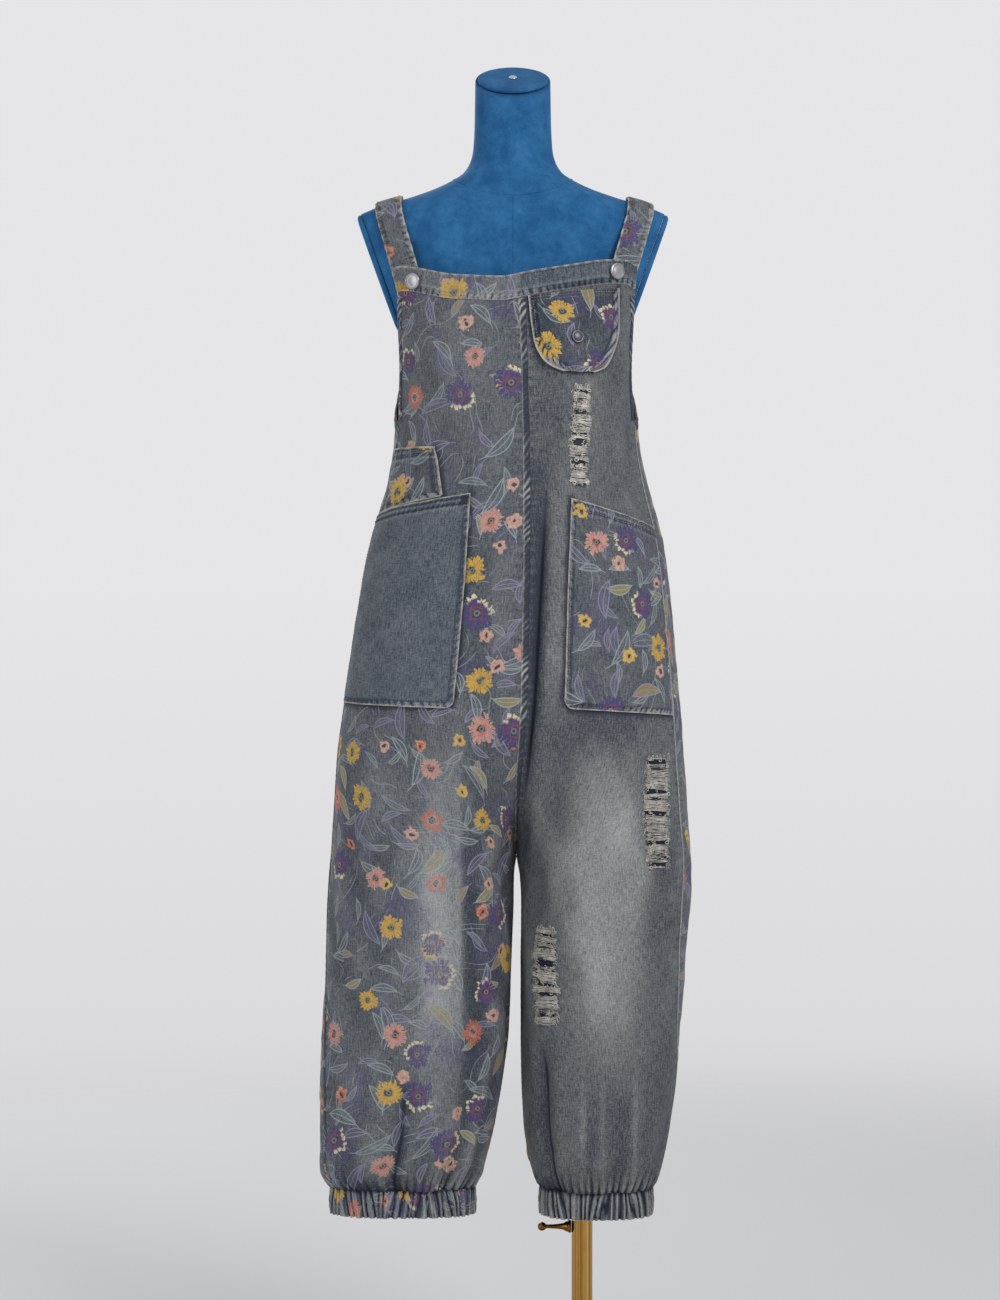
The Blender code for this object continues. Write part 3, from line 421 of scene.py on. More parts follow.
class Cloth:
    """The worn cloth's outer surface, which the panels follow and the sewn pieces lie on."""

    COLUMNS = 160
    REACH = (0.2380, 1.4021)  # its lowest and highest levels
    LEVEL_STEP = 0.002

    def __init__(self) -> None:
        """Traces the outlines of all four panels at close heights."""
        self.levels = np.arange(*self.REACH, self.LEVEL_STEP)
        self.lines: dict[tuple[Side, Face], Array] = {}
        self.outward: dict[tuple[Side, Face], Array] = {}
        self.lengths: dict[tuple[Side, Face], Array] = {}
        for side in Side:
            for face in Face:
                self._trace(side, face)

    def _arc(self, side: Side, face: Face, leg: bool) -> Array:
        """One face's outline at each level, of half the body or of a whole leg, evenly divided.

        Args:
            side: The panel's side.
            face: The panel's face.
            leg: Whether it is a leg's or half the body's.

        Returns:
            X and Y, by level and column.
        """
        z, key = self.levels, SIDE_NAMES[side]
        table, power = (LEGS[side], LEG_POWER) if leg else (BODY, BODY_POWER)
        front, back = table.read("front", z), table.read("back", z)
        ahead = SIDE_SEAMS.read(key, z) / front
        start = -np.arcsin(np.minimum(ahead, 0.95) ** (power / 2))
        end = face * math.pi * (1 if leg else 0.5)
        angles = start[:, None] + (end - start)[:, None] * np.linspace(0, 1, self.COLUMNS)
        c, s = superellipse(angles, power)
        if leg:
            outer, inner = table.read("outer", z)[:, None], table.read("inner", z)[:, None]
            x = (outer + inner) / 2 + (outer - inner) / 2 * c
        else:
            drift = table.read("drift", z)[:, None]
            x = side * table.read(key, z)[:, None] * c + drift * (1 - c)
        y = np.where(s < 0, front[:, None], back[:, None]) * s
        even = []
        for row in np.stack([x, y], axis=2):
            gone = gone_along(row)
            wanted = GAP / 2 + np.linspace(0, 1, self.COLUMNS) * (gone[-1] - GAP)
            even.append(read_line(row, gone, wanted))
        return np.array(even)

    def _trace(self, side: Side, face: Face) -> None:
        """Blends the body into the leg down the rise and keeps the outlines of one panel.

        Args:
            side: The panel's side.
            face: The panel's face.
        """
        down = (RISE_TOP_Z - self.levels) / (RISE_TOP_Z - CROTCH_Z)
        turned = (np.clip(down, 0, 1) ** RISE_POWER)[:, None, None]
        body, leg = self._arc(side, face, False), self._arc(side, face, True)
        line = (1 - turned) * body + turned * leg
        run = unit(np.gradient(line, axis=1))
        self.lines[side, face] = line
        self.outward[side, face] = side * face * np.stack([run[..., 1], -run[..., 0]], axis=2)
        self.lengths[side, face] = np.linalg.norm(np.diff(line, axis=1), axis=2).sum(axis=1)

    def _look_up(self, grid: Array, z: Array, share: Array) -> Array:
        """Reads a grid of levels and columns between its points.

        Args:
            grid: What to read, by level and perhaps column.
            z: Heights.
            share: Shares of the way round.

        Returns:
            The values there.
        """
        row = np.clip((z - self.levels[0]) / self.LEVEL_STEP, 0, len(self.levels) - 1.001)
        i = row.astype(int)
        u = (row - i)[..., None]
        if grid.ndim == 1:
            return (grid[i] * (1 - u[..., 0])) + grid[i + 1] * u[..., 0]
        column = np.clip(share * (self.COLUMNS - 1), 0, self.COLUMNS - 1.001)
        j = column.astype(int)
        w = (column - j)[..., None]
        low = grid[i, j] * (1 - w) + grid[i, j + 1] * w
        high = grid[i + 1, j] * (1 - w) + grid[i + 1, j + 1] * w
        return low * (1 - u) + high * u

    def length(self, side: Side, face: Face, z: Array) -> Array:
        """The panel's width round its outline at the heights."""
        return self._look_up(self.lengths[side, face], np.asarray(z, float), z)

    def relief(self, side: Side, face: Face, z: Array, share: Array) -> tuple[Array, Array, Array]:
        """The folds, creases and gathers at places on a panel.

        Args:
            side: The panel's side.
            face: The panel's face.
            z: Heights.
            share: Shares of the way round.

        Returns:
            How far out, how far towards the side seam, and its wear with painted light and shade.
        """
        length = self.length(side, face, z)
        pushes = [Fold(*row).push(z, share, length) for row in FOLDS[side, face]]
        out, lap, line = (sum(part) for part in zip(*pushes))
        soft = np.zeros(z.shape)
        for n, (top, start, foot, end, depth, width) in enumerate(CREASES[side, face]):
            middle = (top + foot) / 2, (start + end) / 2
            push, _, _ = Fold(top, start, *middle, foot, end, depth, width).push(z, share, length)
            soft = soft + push * (0.8 + 0.35 * np.sin(z / 0.019 + 2.1 * n))
        u = share * length
        inside = ease(np.minimum(share, 1 - share) * length / FOLD_MARGIN)
        seed = gather_seed(side, face)
        low = ease((0.86 - z) / 0.25)
        soft = soft + inside * (0.0005 + 0.0010 * low) * ripple(u, z, 40 + seed, 0.10)
        soft = soft + inside * 0.0004 * ripple(u, z, 60 + seed, 0.045, 1.2)
        near = ease((0.330 - z) / 0.055)
        round_cuff = share * self.length(side, face, np.full(z.shape, CUFF_TOP_Z))
        pleats = gathers(round_cuff, seed) - 0.5
        wide = np.sin(round_cuff / 0.0044 + seed) * ease((0.40 - z) / 0.11)
        soft = soft + inside * (0.0046 * near * pleats + 0.0016 * wide)
        # Troughs and lapped fold lines get painted shade; ridges get wear and a painted highlight.
        crease_wear_and_shade = soft + 0.45 * out * np.minimum(np.abs(out) / 0.010, 1.3)
        crease_wear_and_shade = np.where(crease_wear_and_shade < 0, 0.42, 0.80) * np.tanh(crease_wear_and_shade / 0.0044) - 1.0 * line
        return out + soft, lap, crease_wear_and_shade

    def place(
        self, side: Side, face: Face, z: Array, share: Array, out: Array | float = 0.0
    ) -> Array:
        """Points on the cloth, or a distance outside it.

        Args:
            side: The panel's side.
            face: The panel's face.
            z: Heights.
            share: Shares of the way round, of the same shape.
            out: How far outside the cloth.

        Returns:
            The points, with a last axis of 3.
        """
        z, share = (np.array(a, float) for a in np.broadcast_arrays(z, share))
        flat = self._look_up(self.lines[side, face], z, share)
        outward = unit(self._look_up(self.outward[side, face], z, share))
        push, lap, _ = self.relief(side, face, z, share)
        run = side * face * np.stack([-outward[..., 1], outward[..., 0]], axis=-1)
        flat = flat + outward * push[..., None] + run * lap[..., None]
        points = np.concatenate([flat, z[..., None]], axis=-1)
        points[..., 0] += FORM_X
        if np.any(out):
            points = points + np.asarray(out)[..., None] * self.normal(side, face, z, share)
        return points

    def normal(self, side: Side, face: Face, z: Array, share: Array) -> Array:
        """The outward directions, square to the cloth.

        Args:
            side: The panel's side.
            face: The panel's face.
            z: Heights.
            share: Shares of the way round.

        Returns:
            Directions of length 1.
        """
        z, share = (np.array(a, float) for a in np.broadcast_arrays(z, share))
        step, rise = 0.006, 0.003
        low, high = np.maximum(share - step, 0), np.minimum(share + step, 1)
        across = self.place(side, face, z, high) - self.place(side, face, z, low)
        up = self.place(side, face, z + rise, share) - self.place(side, face, z - rise, share)
        normal = side * face * unit(np.cross(across, up))
        centre = (share >= 0.999) & (side * normal[..., 0] > 0)
        normal[..., 0] = np.where(centre, 0, normal[..., 0])
        return unit(normal)

    def share_at(self, side: Side, face: Face, z: Array, x: Array) -> Array:
        """The shares at which a panel passes X, measured from the form's middle, at heights z.

        Args:
            side: The panel's side.
            face: The panel's face.
            z: Heights.
            x: X from the form's middle.

        Returns:
            The shares.
        """
        z, x = (np.array(a, float) for a in np.broadcast_arrays(z, x))
        shares, found = np.linspace(0, 1, self.COLUMNS), np.empty(z.shape)
        for spot in np.ndindex(z.shape):
            level = np.full(self.COLUMNS, z[spot])
            xs = self._look_up(self.lines[side, face], level, shares)[:, 0]
            found[spot] = np.interp(-side * x[spot], -side * xs, shares)
        return found

    def top(self, side: Side, share: Array) -> Array:
        """Heights of the bib's top edge.

        Args:
            side: The panel's side.
            share: Shares of the way round.

        Returns:
            The heights.
        """
        z = np.full(np.shape(share), 1.36)
        for _ in range(3):
            x = self._look_up(self.lines[side, Face.FRONT], z, np.asarray(share, float))[..., 0]
            z = TOP_EDGE.read("z", x)
        return z


# ---------------------------------------------------------------------------- finishes
def linear(code: str) -> tuple[float, float, float, float]:
    """The linear colour of an sRGB hex code such as "#4f5a66".

    Args:
        code: The code, with its hash sign.

    Returns:
        Red, green, blue and 1.
    """
    parts = [int(code[i : i + 2], 16) / 255 for i in (1, 3, 5)]
    turned = [p / 12.92 if p <= 0.04045 else ((p + 0.055) / 1.055) ** 2.4 for p in parts]
    return (turned[0], turned[1], turned[2], 1.0)


class Graph:
    """A material's node tree, which a finish fills."""

    OPERATIONS = {
        "Add": "ADD", "Sub": "SUBTRACT", "Mult": "MULTIPLY", "Div": "DIVIDE", "Pow": "POWER",
        "Gt": "GREATER_THAN", "Lt": "LESS_THAN", "abs": "ABSOLUTE", "sqrt": "SQRT", "sin": "SINE",
        "cos": "COSINE", "fract": "FRACT", "least": "MINIMUM", "most": "MAXIMUM",
        "atan2": "ARCTAN2", "clip": "ADD",
    }  # fmt: skip

    def __init__(self, name: str, kinds: bpy.types.bpy_prop_collection | None = None) -> None:
        """Starts the material with its Principled shader, or a world with its background.

        Args:
            name: The material's name.
            kinds: Where to make it, if not a material.
        """
        self.material = (bpy.data.materials if kinds is None else kinds).new(name)
        self.material.use_nodes = True
        self.tree = self.material.node_tree
        self.shader = self.tree.nodes["Principled BSDF" if kinds is None else "Background"]

    def add(
        self, kind: str, inputs: dict | None = None, out: int | str = 0, **settings: object
    ) -> Socket:
        """Adds a node.

        Args:
            kind: The node's type, without the ShaderNode in front.
            inputs: A value or another node's socket for each input, by name or number.
            out: Which output to return.
            settings: The node's own settings.

        Returns:
            The output socket.
        """
        node = self.tree.nodes.new("ShaderNode" + kind)
        for key, value in settings.items():
            setattr(node, key, value)
        for key, value in (inputs or {}).items():
            if isinstance(value, Socket):
                self.tree.links.new(value, node.inputs[key])
            else:
                node.inputs[key].default_value = value
        return node.outputs[out]

    def formula(self, text: str, **names: Socket | float) -> Socket | float:
        """Turns a written formula into maths nodes.

        Args:
            text: Sums of the names, numbers and the operations above.
            names: What each name stands for.

        Returns:
            The result's socket.
        """
        return self._term(ast.parse(text).body[0].value, names)

    def work_out(self, names: dict, **formulas: str) -> None:
        """Adds each formula's result to the names, in order."""
        for name, text in formulas.items():
            names[name] = self.formula(text, **names)

    def _term(self, term: ast.expr, names: dict) -> Socket | float:
        """One term of a formula, as a socket or a number.

        Args:
            term: The term.
            names: What each name stands for.

        Returns:
            Its value: a socket, or a number where nothing varies.
        """
        if isinstance(term, ast.Constant):
            return float(term.value)
        if isinstance(term, ast.Name):
            return names[term.id]
        if isinstance(term, ast.UnaryOp):
            return self._term(ast.BinOp(ast.Constant(-1.0), ast.Mult(), term.operand), names)
        if isinstance(term, ast.Call):
            key, parts = term.func.id, term.args
        elif isinstance(term, ast.Compare):
            key, parts = type(term.ops[0]).__name__, [term.left, term.comparators[0]]
        else:
            key, parts = type(term.op).__name__, [term.left, term.right]
        values = [self._term(part, names) for part in parts]
        if key == "Mult" and all(isinstance(value, float) for value in values):
            return values[0] * values[1]
        if key == "clip":
            values.append(0.0)
        return self.add(
            "Math", dict(enumerate(values)), operation=self.OPERATIONS[key], use_clamp=key == "clip"
        )

    def paint(self, base: Socket | tuple, *layers: tuple) -> Socket:
        """Lays colours over a base, each with its amount from 0 to 1.

        Args:
            base: The colour under it.
            layers: A colour and its amount for each layer, lowest first.

        Returns:
            The top colour.
        """
        for colour, amount in layers:
            base = self.add("Mix", {0: amount, 6: base, 7: colour}, out=2, data_type="RGBA")
        return base

    def finish(self, colour: Socket | tuple, **values: Socket | float) -> bpy.types.Material:
        """Sets the shader's sockets, named with underscores, and returns the material.

        Args:
            colour: The base colour.
            values: What each other socket gets.

        Returns:
            The material.
        """
        values["Base_Color"] = colour
        for key, value in values.items():
            socket = self.shader.inputs[key.replace("_", " ")]
            if isinstance(value, Socket):
                self.tree.links.new(value, socket)
            else:
                socket.default_value = value
        return self.material


YELLOW, GOLD, CREAM = linear("#cfa64a"), linear("#9f8c45"), linear("#d6caa6")
CORAL, PINK, PLUM = linear("#bd6e5a"), linear("#c8988b"), linear("#4e4371")
WINE, EYE, LEAF = linear("#7f4955"), linear("#333b46"), linear("#9fa8a9")
LILAC, LEAF_DARK = linear("#938fa9"), linear("#46525c")


@dataclass(frozen=True)
class FlowerPrint:
    """Loose hand-drawn daisies, rosettes, leaves and vines, scattered with no repeat."""

    daisy_cell: float = 68.0  # millimetres from flower to flower
    rosette_cell: float = 57.0
    leaf_cells: tuple[float, ...] = (36.0, 46.0, 61.0)
    petals: int = 17

    def _scatter(self, graph: Graph, uv: Socket, cell: float, seed: float, loose: float) -> dict:
        """Scatters one motif.

        Args:
            graph: The cloth's node tree.
            uv: Places on the cloth, in metres.
            cell: Millimetres from spot to spot.
            seed: Shifts the spots.
            loose: How irregular they are, 0 to 1.

        Returns:
            Each spot's distance, offsets and three random numbers, in cells.
        """
        scale, shift = (1 / (cell * MM),) * 3, (seed, seed * 0.7, 0)
        spot = graph.add("Mapping", {"Vector": uv, "Scale": scale, "Location": shift})
        spread = {"Vector": spot, "Scale": 1.0, "Randomness": loose}
        near = graph.add("TexVoronoi", spread, voronoi_dimensions="2D")
        position, chance = near.node.outputs["Position"], near.node.outputs["Color"]
        away = graph.add("VectorMath", {0: spot, 1: position}, operation="SUBTRACT")
        offset = graph.add("SeparateXYZ", {0: away}).node.outputs
        random = graph.add("SeparateColor", {0: chance}).node.outputs
        return {
            "r": near, "dx": offset[0], "dy": offset[1], "a": random[0], "b": random[1],
            "c": random[2], "cell": cell,
        }  # fmt: skip

    def _choose(self, graph: Graph, chance: Socket, stops: tuple) -> Socket:
        """One of some colours, by a random number and where each colour starts.

        Args:
            graph: The cloth's node tree.
            chance: A random number for each spot.
            stops: Where each colour starts, and the colour.

        Returns:
            The colour.
        """
        ramp = graph.add("ValToRGB", {0: chance})
        band = ramp.node.color_ramp
        band.interpolation = "CONSTANT"
        for place, colour in stops[1:]:
            band.elements.new(place)
        for element, (place, colour) in zip(sorted(band.elements, key=lambda e: e.position), stops):
            element.color = colour
        band.elements[-1].color = stops[-1][1]
        return ramp

    def _daisies(self, graph: Graph, uv: Socket, wobble: Socket, base: Socket) -> Socket:
        """Ragged daisies of four colours, the purple ones with cream tips on one side.

        Args:
            graph: The cloth's node tree.
            uv: Places on the cloth, in metres.
            wobble: Noise that makes the drawing uneven.
            base: The colour under it.

        Returns:
            The colour with them on it.
        """
        s = self._scatter(graph, uv, self.daisy_cell, 3.7, 0.72)
        s["wobble"], s["turn"] = wobble, self.petals / (2 * math.pi)
        graph.work_out(
            s,
            kind="fract(a * 7.13 + b * 3.7)",
            purple="(kind > 0.50) * (kind < 0.90)",
            size="(0.205 + 0.08 * b) * (1 + 0.22 * purple)",
            angle="atan2(dy, dx) + 0.5 * wobble",
            petal="angle * turn + a * 5",
            whole="petal - fract(petal)",
            row="a * 91",
        )
        place = graph.add("CombineXYZ", {0: s["whole"], 1: s["row"]})
        s["own"] = graph.add("TexWhiteNoise", {"Vector": place}, noise_dimensions="2D")
        # Each petal has a darker stroke or two, as from a dry brush.
        graph.work_out(
            s,
            gap="abs(fract(petal) - 0.5) * 2",
            edge="size * (0.76 + 0.28 * own) * (1 - 0.24 * gap * gap + 0.25 * wobble)",
            far="r / size",
            here="c > 0.12",
            slit="clip((gap - 0.60 - 0.3 * own) * 6) * clip((far - 0.40) * 6)",
            body="here * clip((edge - r) * cell / 0.5) * (1 - slit)",
            stroke="body * clip(1 - abs(gap - 0.15 - 0.4 * own) * 6)"
            " * clip((far - 0.35) * 5) * 0.42",
            ring="here * clip((0.44 + 0.5 * wobble - far) * 9) * 0.75",
            eye="here * clip((0.27 + 0.4 * wobble - far) * 12)",
            seed="here * clip(1 - abs(far - 0.12) * 14) * 0.6",
            half="clip(sin(angle + b * 6.28) * 3 - 0.4)",
            tips="body * purple * clip((far - 0.46 - 0.25 * own) * 9) * half",
        )
        colours = ((0, YELLOW), (0.30, CORAL), (0.42, PINK), (0.50, PLUM), (0.90, YELLOW))
        rings = ((0, GOLD), (0.30, PINK), (0.42, CORAL), (0.50, WINE), (0.90, GOLD))
        flower = self._choose(graph, s["kind"], colours)
        core = self._choose(graph, s["kind"], rings)
        return graph.paint(
            base, (flower, s["body"]), (LEAF_DARK, s["stroke"]), (CREAM, s["tips"]),
            (core, s["ring"]), (EYE, s["eye"]), (LEAF, s["seed"]),
        )  # fmt: skip

    def _rosettes(self, graph: Graph, uv: Socket, wobble: Socket, base: Socket) -> Socket:
        """Small round flowers and buds with a dark eye and one dark ring.

        Args:
            graph: The cloth's node tree.
            uv: Places on the cloth, in metres.
            wobble: Noise that makes the drawing uneven.
            base: The colour under it.

        Returns:
            The colour with them on it.
        """
        s = self._scatter(graph, uv, self.rosette_cell, 11.3, 0.85)
        s["wobble"] = wobble
        graph.work_out(
            s,
            size="0.125 + 0.05 * b",
            far="r / size + 1.1 * wobble",
            here="c > 0.55",
            disc="here * clip((1 - far) * 9) * 0.9",
            line="here * clip(1 - abs(far - 0.66) * 9) * 0.6",
            eye="here * clip((0.30 - far) * 12)",
        )
        stops = ((0, PINK), (0.30, CORAL), (0.45, YELLOW), (0.75, PINK))
        flower = self._choose(graph, s["a"], stops)
        return graph.paint(base, (flower, s["disc"]), (CREAM, s["line"]), (EYE, s["eye"]))

    def _leaves(self, graph: Graph, uv: Socket, base: Socket, cell: float, seed: float) -> Socket:
        """Long leaves drawn in outline, with a rib and a stalk; some are filled in gold.

        Args:
            graph: The cloth's node tree.
            uv: Places on the cloth, in metres.
            base: The colour under it.
            cell: Millimetres from leaf to leaf.
            seed: Shifts them.

        Returns:
            The colour with them on it.
        """
        s = self._scatter(graph, uv, cell, seed, 0.7)
        graph.work_out(
            s,
            turn="a * 6.2832",
            along="dx * cos(turn) + dy * sin(turn)",
            across="dy * cos(turn) - dx * sin(turn) + 0.6 * along * along - 0.03",
            inside="(0.075 + 0.05 * b) * (1 - along * along / 0.13) - abs(across)",
            here="c > 0.34",
            body="here * clip(inside * cell / 0.4)",
            outline="clip(1.5 - abs(inside) * cell / 0.72)",
            rib="clip(1.4 - abs(across) * cell / 0.55) * (along < 0.36) * (along > -0.50)",
            hatch="body * (fract(across * cell / 1.9 + along * 2) < 0.3) * 0.34",
            ink="most(here * most(outline, rib) * (0.58 + 0.35 * b), hatch)",
            gold="body * (b > 0.84) * 0.7",
            sage="ink * (a < 0.6)",
            lilac="ink * (a > 0.6)",
            shade="body * 0.4",
        )
        layers = ((LEAF_DARK, "shade"), (GOLD, "gold"), (LEAF, "sage"), (LILAC, "lilac"))
        return graph.paint(base, *((colour, s[key]) for colour, key in layers))

    def _vines(self, graph: Graph, uv: Socket) -> Socket:
        """How much the thin stems cover: level lines of slow noise, broken here and there.

        Args:
            graph: The cloth's node tree.
            uv: Places on the cloth, in metres.

        Returns:
            The amount, 0 to 1.
        """
        step, scale = 0.0004, 14.0
        reads = []
        for shift in ((0, 0, 0), (step, 0, 0), (0, step, 0)):
            spot = graph.add("VectorMath", {0: uv, 1: shift}, operation="ADD")
            inputs = {"Vector": spot, "Scale": scale, "Detail": 0.7}
            reads.append(graph.add("TexNoise", inputs, noise_dimensions="2D"))
        names = dict(zip("nxy", reads))
        slope = graph.formula("sqrt((x - n) * (x - n) + (y - n) * (y - n)) / 0.4 + 0.0006", **names)
        cut = graph.add("TexNoise", {"Vector": uv, "Scale": 31.0}, noise_dimensions="2D")
        return graph.formula(
            "most(clip(1.5 - abs(n - 0.52) / slope / 0.42),"
            " clip(1.5 - abs(n - 0.43) / slope / 0.38)) * clip((cut - 0.46) * 9) * 0.7",
            slope=slope,
            cut=cut,
            **names,
        )

    def draw(self, graph: Graph, uv: Socket, ground: Socket) -> Socket:
        """Prints the flowers on the ground colour.

        Args:
            graph: The cloth's node tree.
            uv: Places on the cloth, in metres.
            ground: The denim's colour.

        Returns:
            The printed colour.
        """
        noise = {"Vector": uv, "Scale": 17.0, "Detail": 2.0}
        haze = graph.add("TexNoise", noise, noise_dimensions="2D")
        haze = graph.formula("clip((haze - 0.55) * 6) * 0.36", haze=haze)
        noise = {"Vector": uv, "Scale": 190.0, "Detail": 1.0}
        wobble = graph.add("TexNoise", noise, noise_dimensions="2D")
        wobble = graph.formula("wobble - 0.5", wobble=wobble)
        colour = graph.paint(ground, (PLUM, haze), (LEAF, self._vines(graph, uv)))
        for n, cell in enumerate(self.leaf_cells):
            colour = self._leaves(graph, uv, colour, cell, 5.1 + 8.3 * n)
        colour = self._rosettes(graph, uv, wobble, colour)
        return self._daisies(graph, uv, wobble, colour)


# The navy and near-black of the darkest fade, unwashed indigo and painted shade; the bared edge's
# cotton.
INDIGO_AND_SHADE, DEEP_INDIGO_AND_SHADE, BARED_EDGE = linear("#3b4352"), linear("#232935"), linear("#b3aea6")


@dataclass(frozen=True)
class Denim:
    """Cotton denim, dyed in the yarn and stone washed.

    The warp is dark on pale, so the eye gets fine uneven upright streaks and a dry, matt surface.
    """

    name: str
    slot: str
    dark: str
    pale: str
    base: float = 0.2  # how washed it is where nothing is sanded
    print: FlowerPrint | None = None

    # How wide and tall, in millimetres, the slubs in the warp and the weft, the wash's blotches
    # and the single yarns are. The yarns are 0.5 mm across, drawn coarser so that they show.
    SIZES = {"warp": (1.5, 10), "weft": (8, 1.5), "blotch": (30, 44), "yarn": (1.6, 2.4)}

    def worn_yarns(self, graph: Graph, uv: Socket) -> dict[str, Socket]:
        """Adds the noises of its yarns, and how faded, rubbed and light it is.

        Args:
            graph: The cloth's node tree.
            uv: Places on the cloth, in metres.

        Returns:
            Each one's socket, by name.
        """
        noises = {}
        for key, (wide, tall) in self.SIZES.items():
            scale = (1 / (wide * MM), 1 / (tall * MM), 1)
            spot = graph.add("Mapping", {"Vector": uv, "Scale": scale})
            noises[key] = graph.add(
                "TexNoise", {"Vector": spot, "Scale": 1.0, "Detail": 1.5}, noise_dimensions="2D"
            )
        noises["fade"] = graph.add("Attribute", out="Fac", attribute_name="fade")
        noises["worn"] = graph.add("Attribute", out="Fac", attribute_name="worn")
        noises["tone"] = graph.formula(
            "fade * 0.40 + ((warp - 0.5) * 0.60 + (weft - 0.5) * 0.36 + (blotch - 0.5) * 0.18"
            " + (yarn - 0.5) * 0.52) * (0.8 + 0.4 * clip(fade))",
            **noises,
        )
        return noises

    def material(self) -> bpy.types.Material:
        """Makes the material; its pattern follows the cloth's own map, in metres.

        Returns:
            The material.
        """
        graph = Graph(self.name)
        uv = graph.add("UVMap", uv_map="cloth")
        noises = self.worn_yarns(graph, uv)
        pale = graph.formula("clip(base + tone)", base=self.base, **noises)
        # Below 0 the fade turns navy, then nearly black: unwashed indigo, and painted shade in the
        # troughs.
        deep = graph.formula("clip((-base - fade * 0.40 - 0.06) * 4)", base=self.base, **noises)
        blue = graph.formula("clip(-fade * 0.8) * 0.34", **noises)
        colour = graph.paint(
            linear(self.dark), (linear(self.pale), pale), (INDIGO_AND_SHADE, blue), (DEEP_INDIGO_AND_SHADE, deep)
        )
        if self.print:
            printed = self.print.draw(graph, uv, colour)
            # The ink wears off the high yarns and where the cloth was sanded, and gives way to deep
            # painted shade.
            kept = graph.formula(
                "clip(0.96 - 0.30 * clip(fade) - clip((yarn - 0.52) * 5) * 0.34"
                " - clip((warp - 0.55) * 5) * 0.34 - clip(-fade - 0.5) * 0.9)",
                **noises,
            )
            colour = graph.paint(colour, (printed, kept))
        abraded = graph.formula("clip(worn * (0.35 + 1.5 * yarn) - 0.2)", **noises)
        colour = graph.paint(colour, (BARED_EDGE, abraded))
        height = graph.formula("warp * 0.5 + weft * 0.35 + yarn * 0.7", **noises)
        bump = graph.add("Bump", {"Height": height, "Strength": 0.6, "Distance": 0.0006})
        return graph.finish(
            colour, Roughness=0.92, Specular_IOR_Level=0.18, Sheen_Weight=0.06, Normal=bump
        )


@dataclass(frozen=True)
class Yarn:
    """Cotton yarn, as the stitches or the bared weft of a rip: matt, with a faint twist."""

    name: str
    slot: str
    colour: str
    thick: float = 0.6  # millimetres

    def material(self) -> bpy.types.Material:
        """Makes the material, a little uneven along each yarn.

        Returns:
            The material.
        """
        graph = Graph(self.name)
        place = graph.add("TexCoord", out="Object")
        patch = graph.add("TexNoise", {"Vector": place, "Scale": 1 / (6 * self.thick * MM)})
        shade = linear(self.colour)
        dark = tuple(c * 0.62 for c in shade[:3]) + (1.0,)
        amount = graph.formula("clip((patch - 0.38) * 4)", patch=patch)
        twist = graph.add("TexNoise", {"Vector": place, "Scale": 1 / (self.thick * MM)})
        bump = graph.add("Bump", {"Height": twist, "Strength": 0.5, "Distance": 0.0003})
        colour = graph.paint(dark, (shade, amount))
        return graph.finish(colour, Roughness=0.85, Specular_IOR_Level=0.25, Normal=bump)


@dataclass(frozen=True)
class Velvet:
    """Short cotton velvet, flocked and stretched over the form.

    Its pile gives a soft sheen at the edges and cloudy marks where it has been brushed over.
    """

    name: str
    slot: str
    colour: str
    brushed: str

    def material(self) -> bpy.types.Material:
        """Makes the material from the pile's brushed marks and its 0.5 mm fibres.

        Returns:
            The material.
        """
        graph = Graph(self.name)
        place = graph.add("TexCoord", out="Object")
        brush = {"Scale": 30.0, "Detail": 5.0, "Roughness": 0.68, "Distortion": 0.2}
        names = {"marks": graph.add("TexNoise", {"Vector": place, **brush})}
        names["pile"] = graph.add("TexNoise", {"Vector": place, "Scale": 900.0, "Detail": 1.0})
        amount = graph.formula("clip((marks - 0.36) * 1.9 + (pile - 0.5) * 0.6)", **names)
        colour = graph.paint(linear(self.colour), (linear(self.brushed), amount))
        height = graph.formula("pile * 0.5 + marks * 0.8", **names)
        bump = graph.add("Bump", {"Height": height, "Strength": 0.35, "Distance": 0.0008})
        return graph.finish(
            colour,
            Roughness=0.9,
            Specular_IOR_Level=0.12,
            Sheen_Weight=0.30,
            Sheen_Roughness=0.35,
            Sheen_Tint=linear("#9dbbd6"),
            Normal=bump,
        )


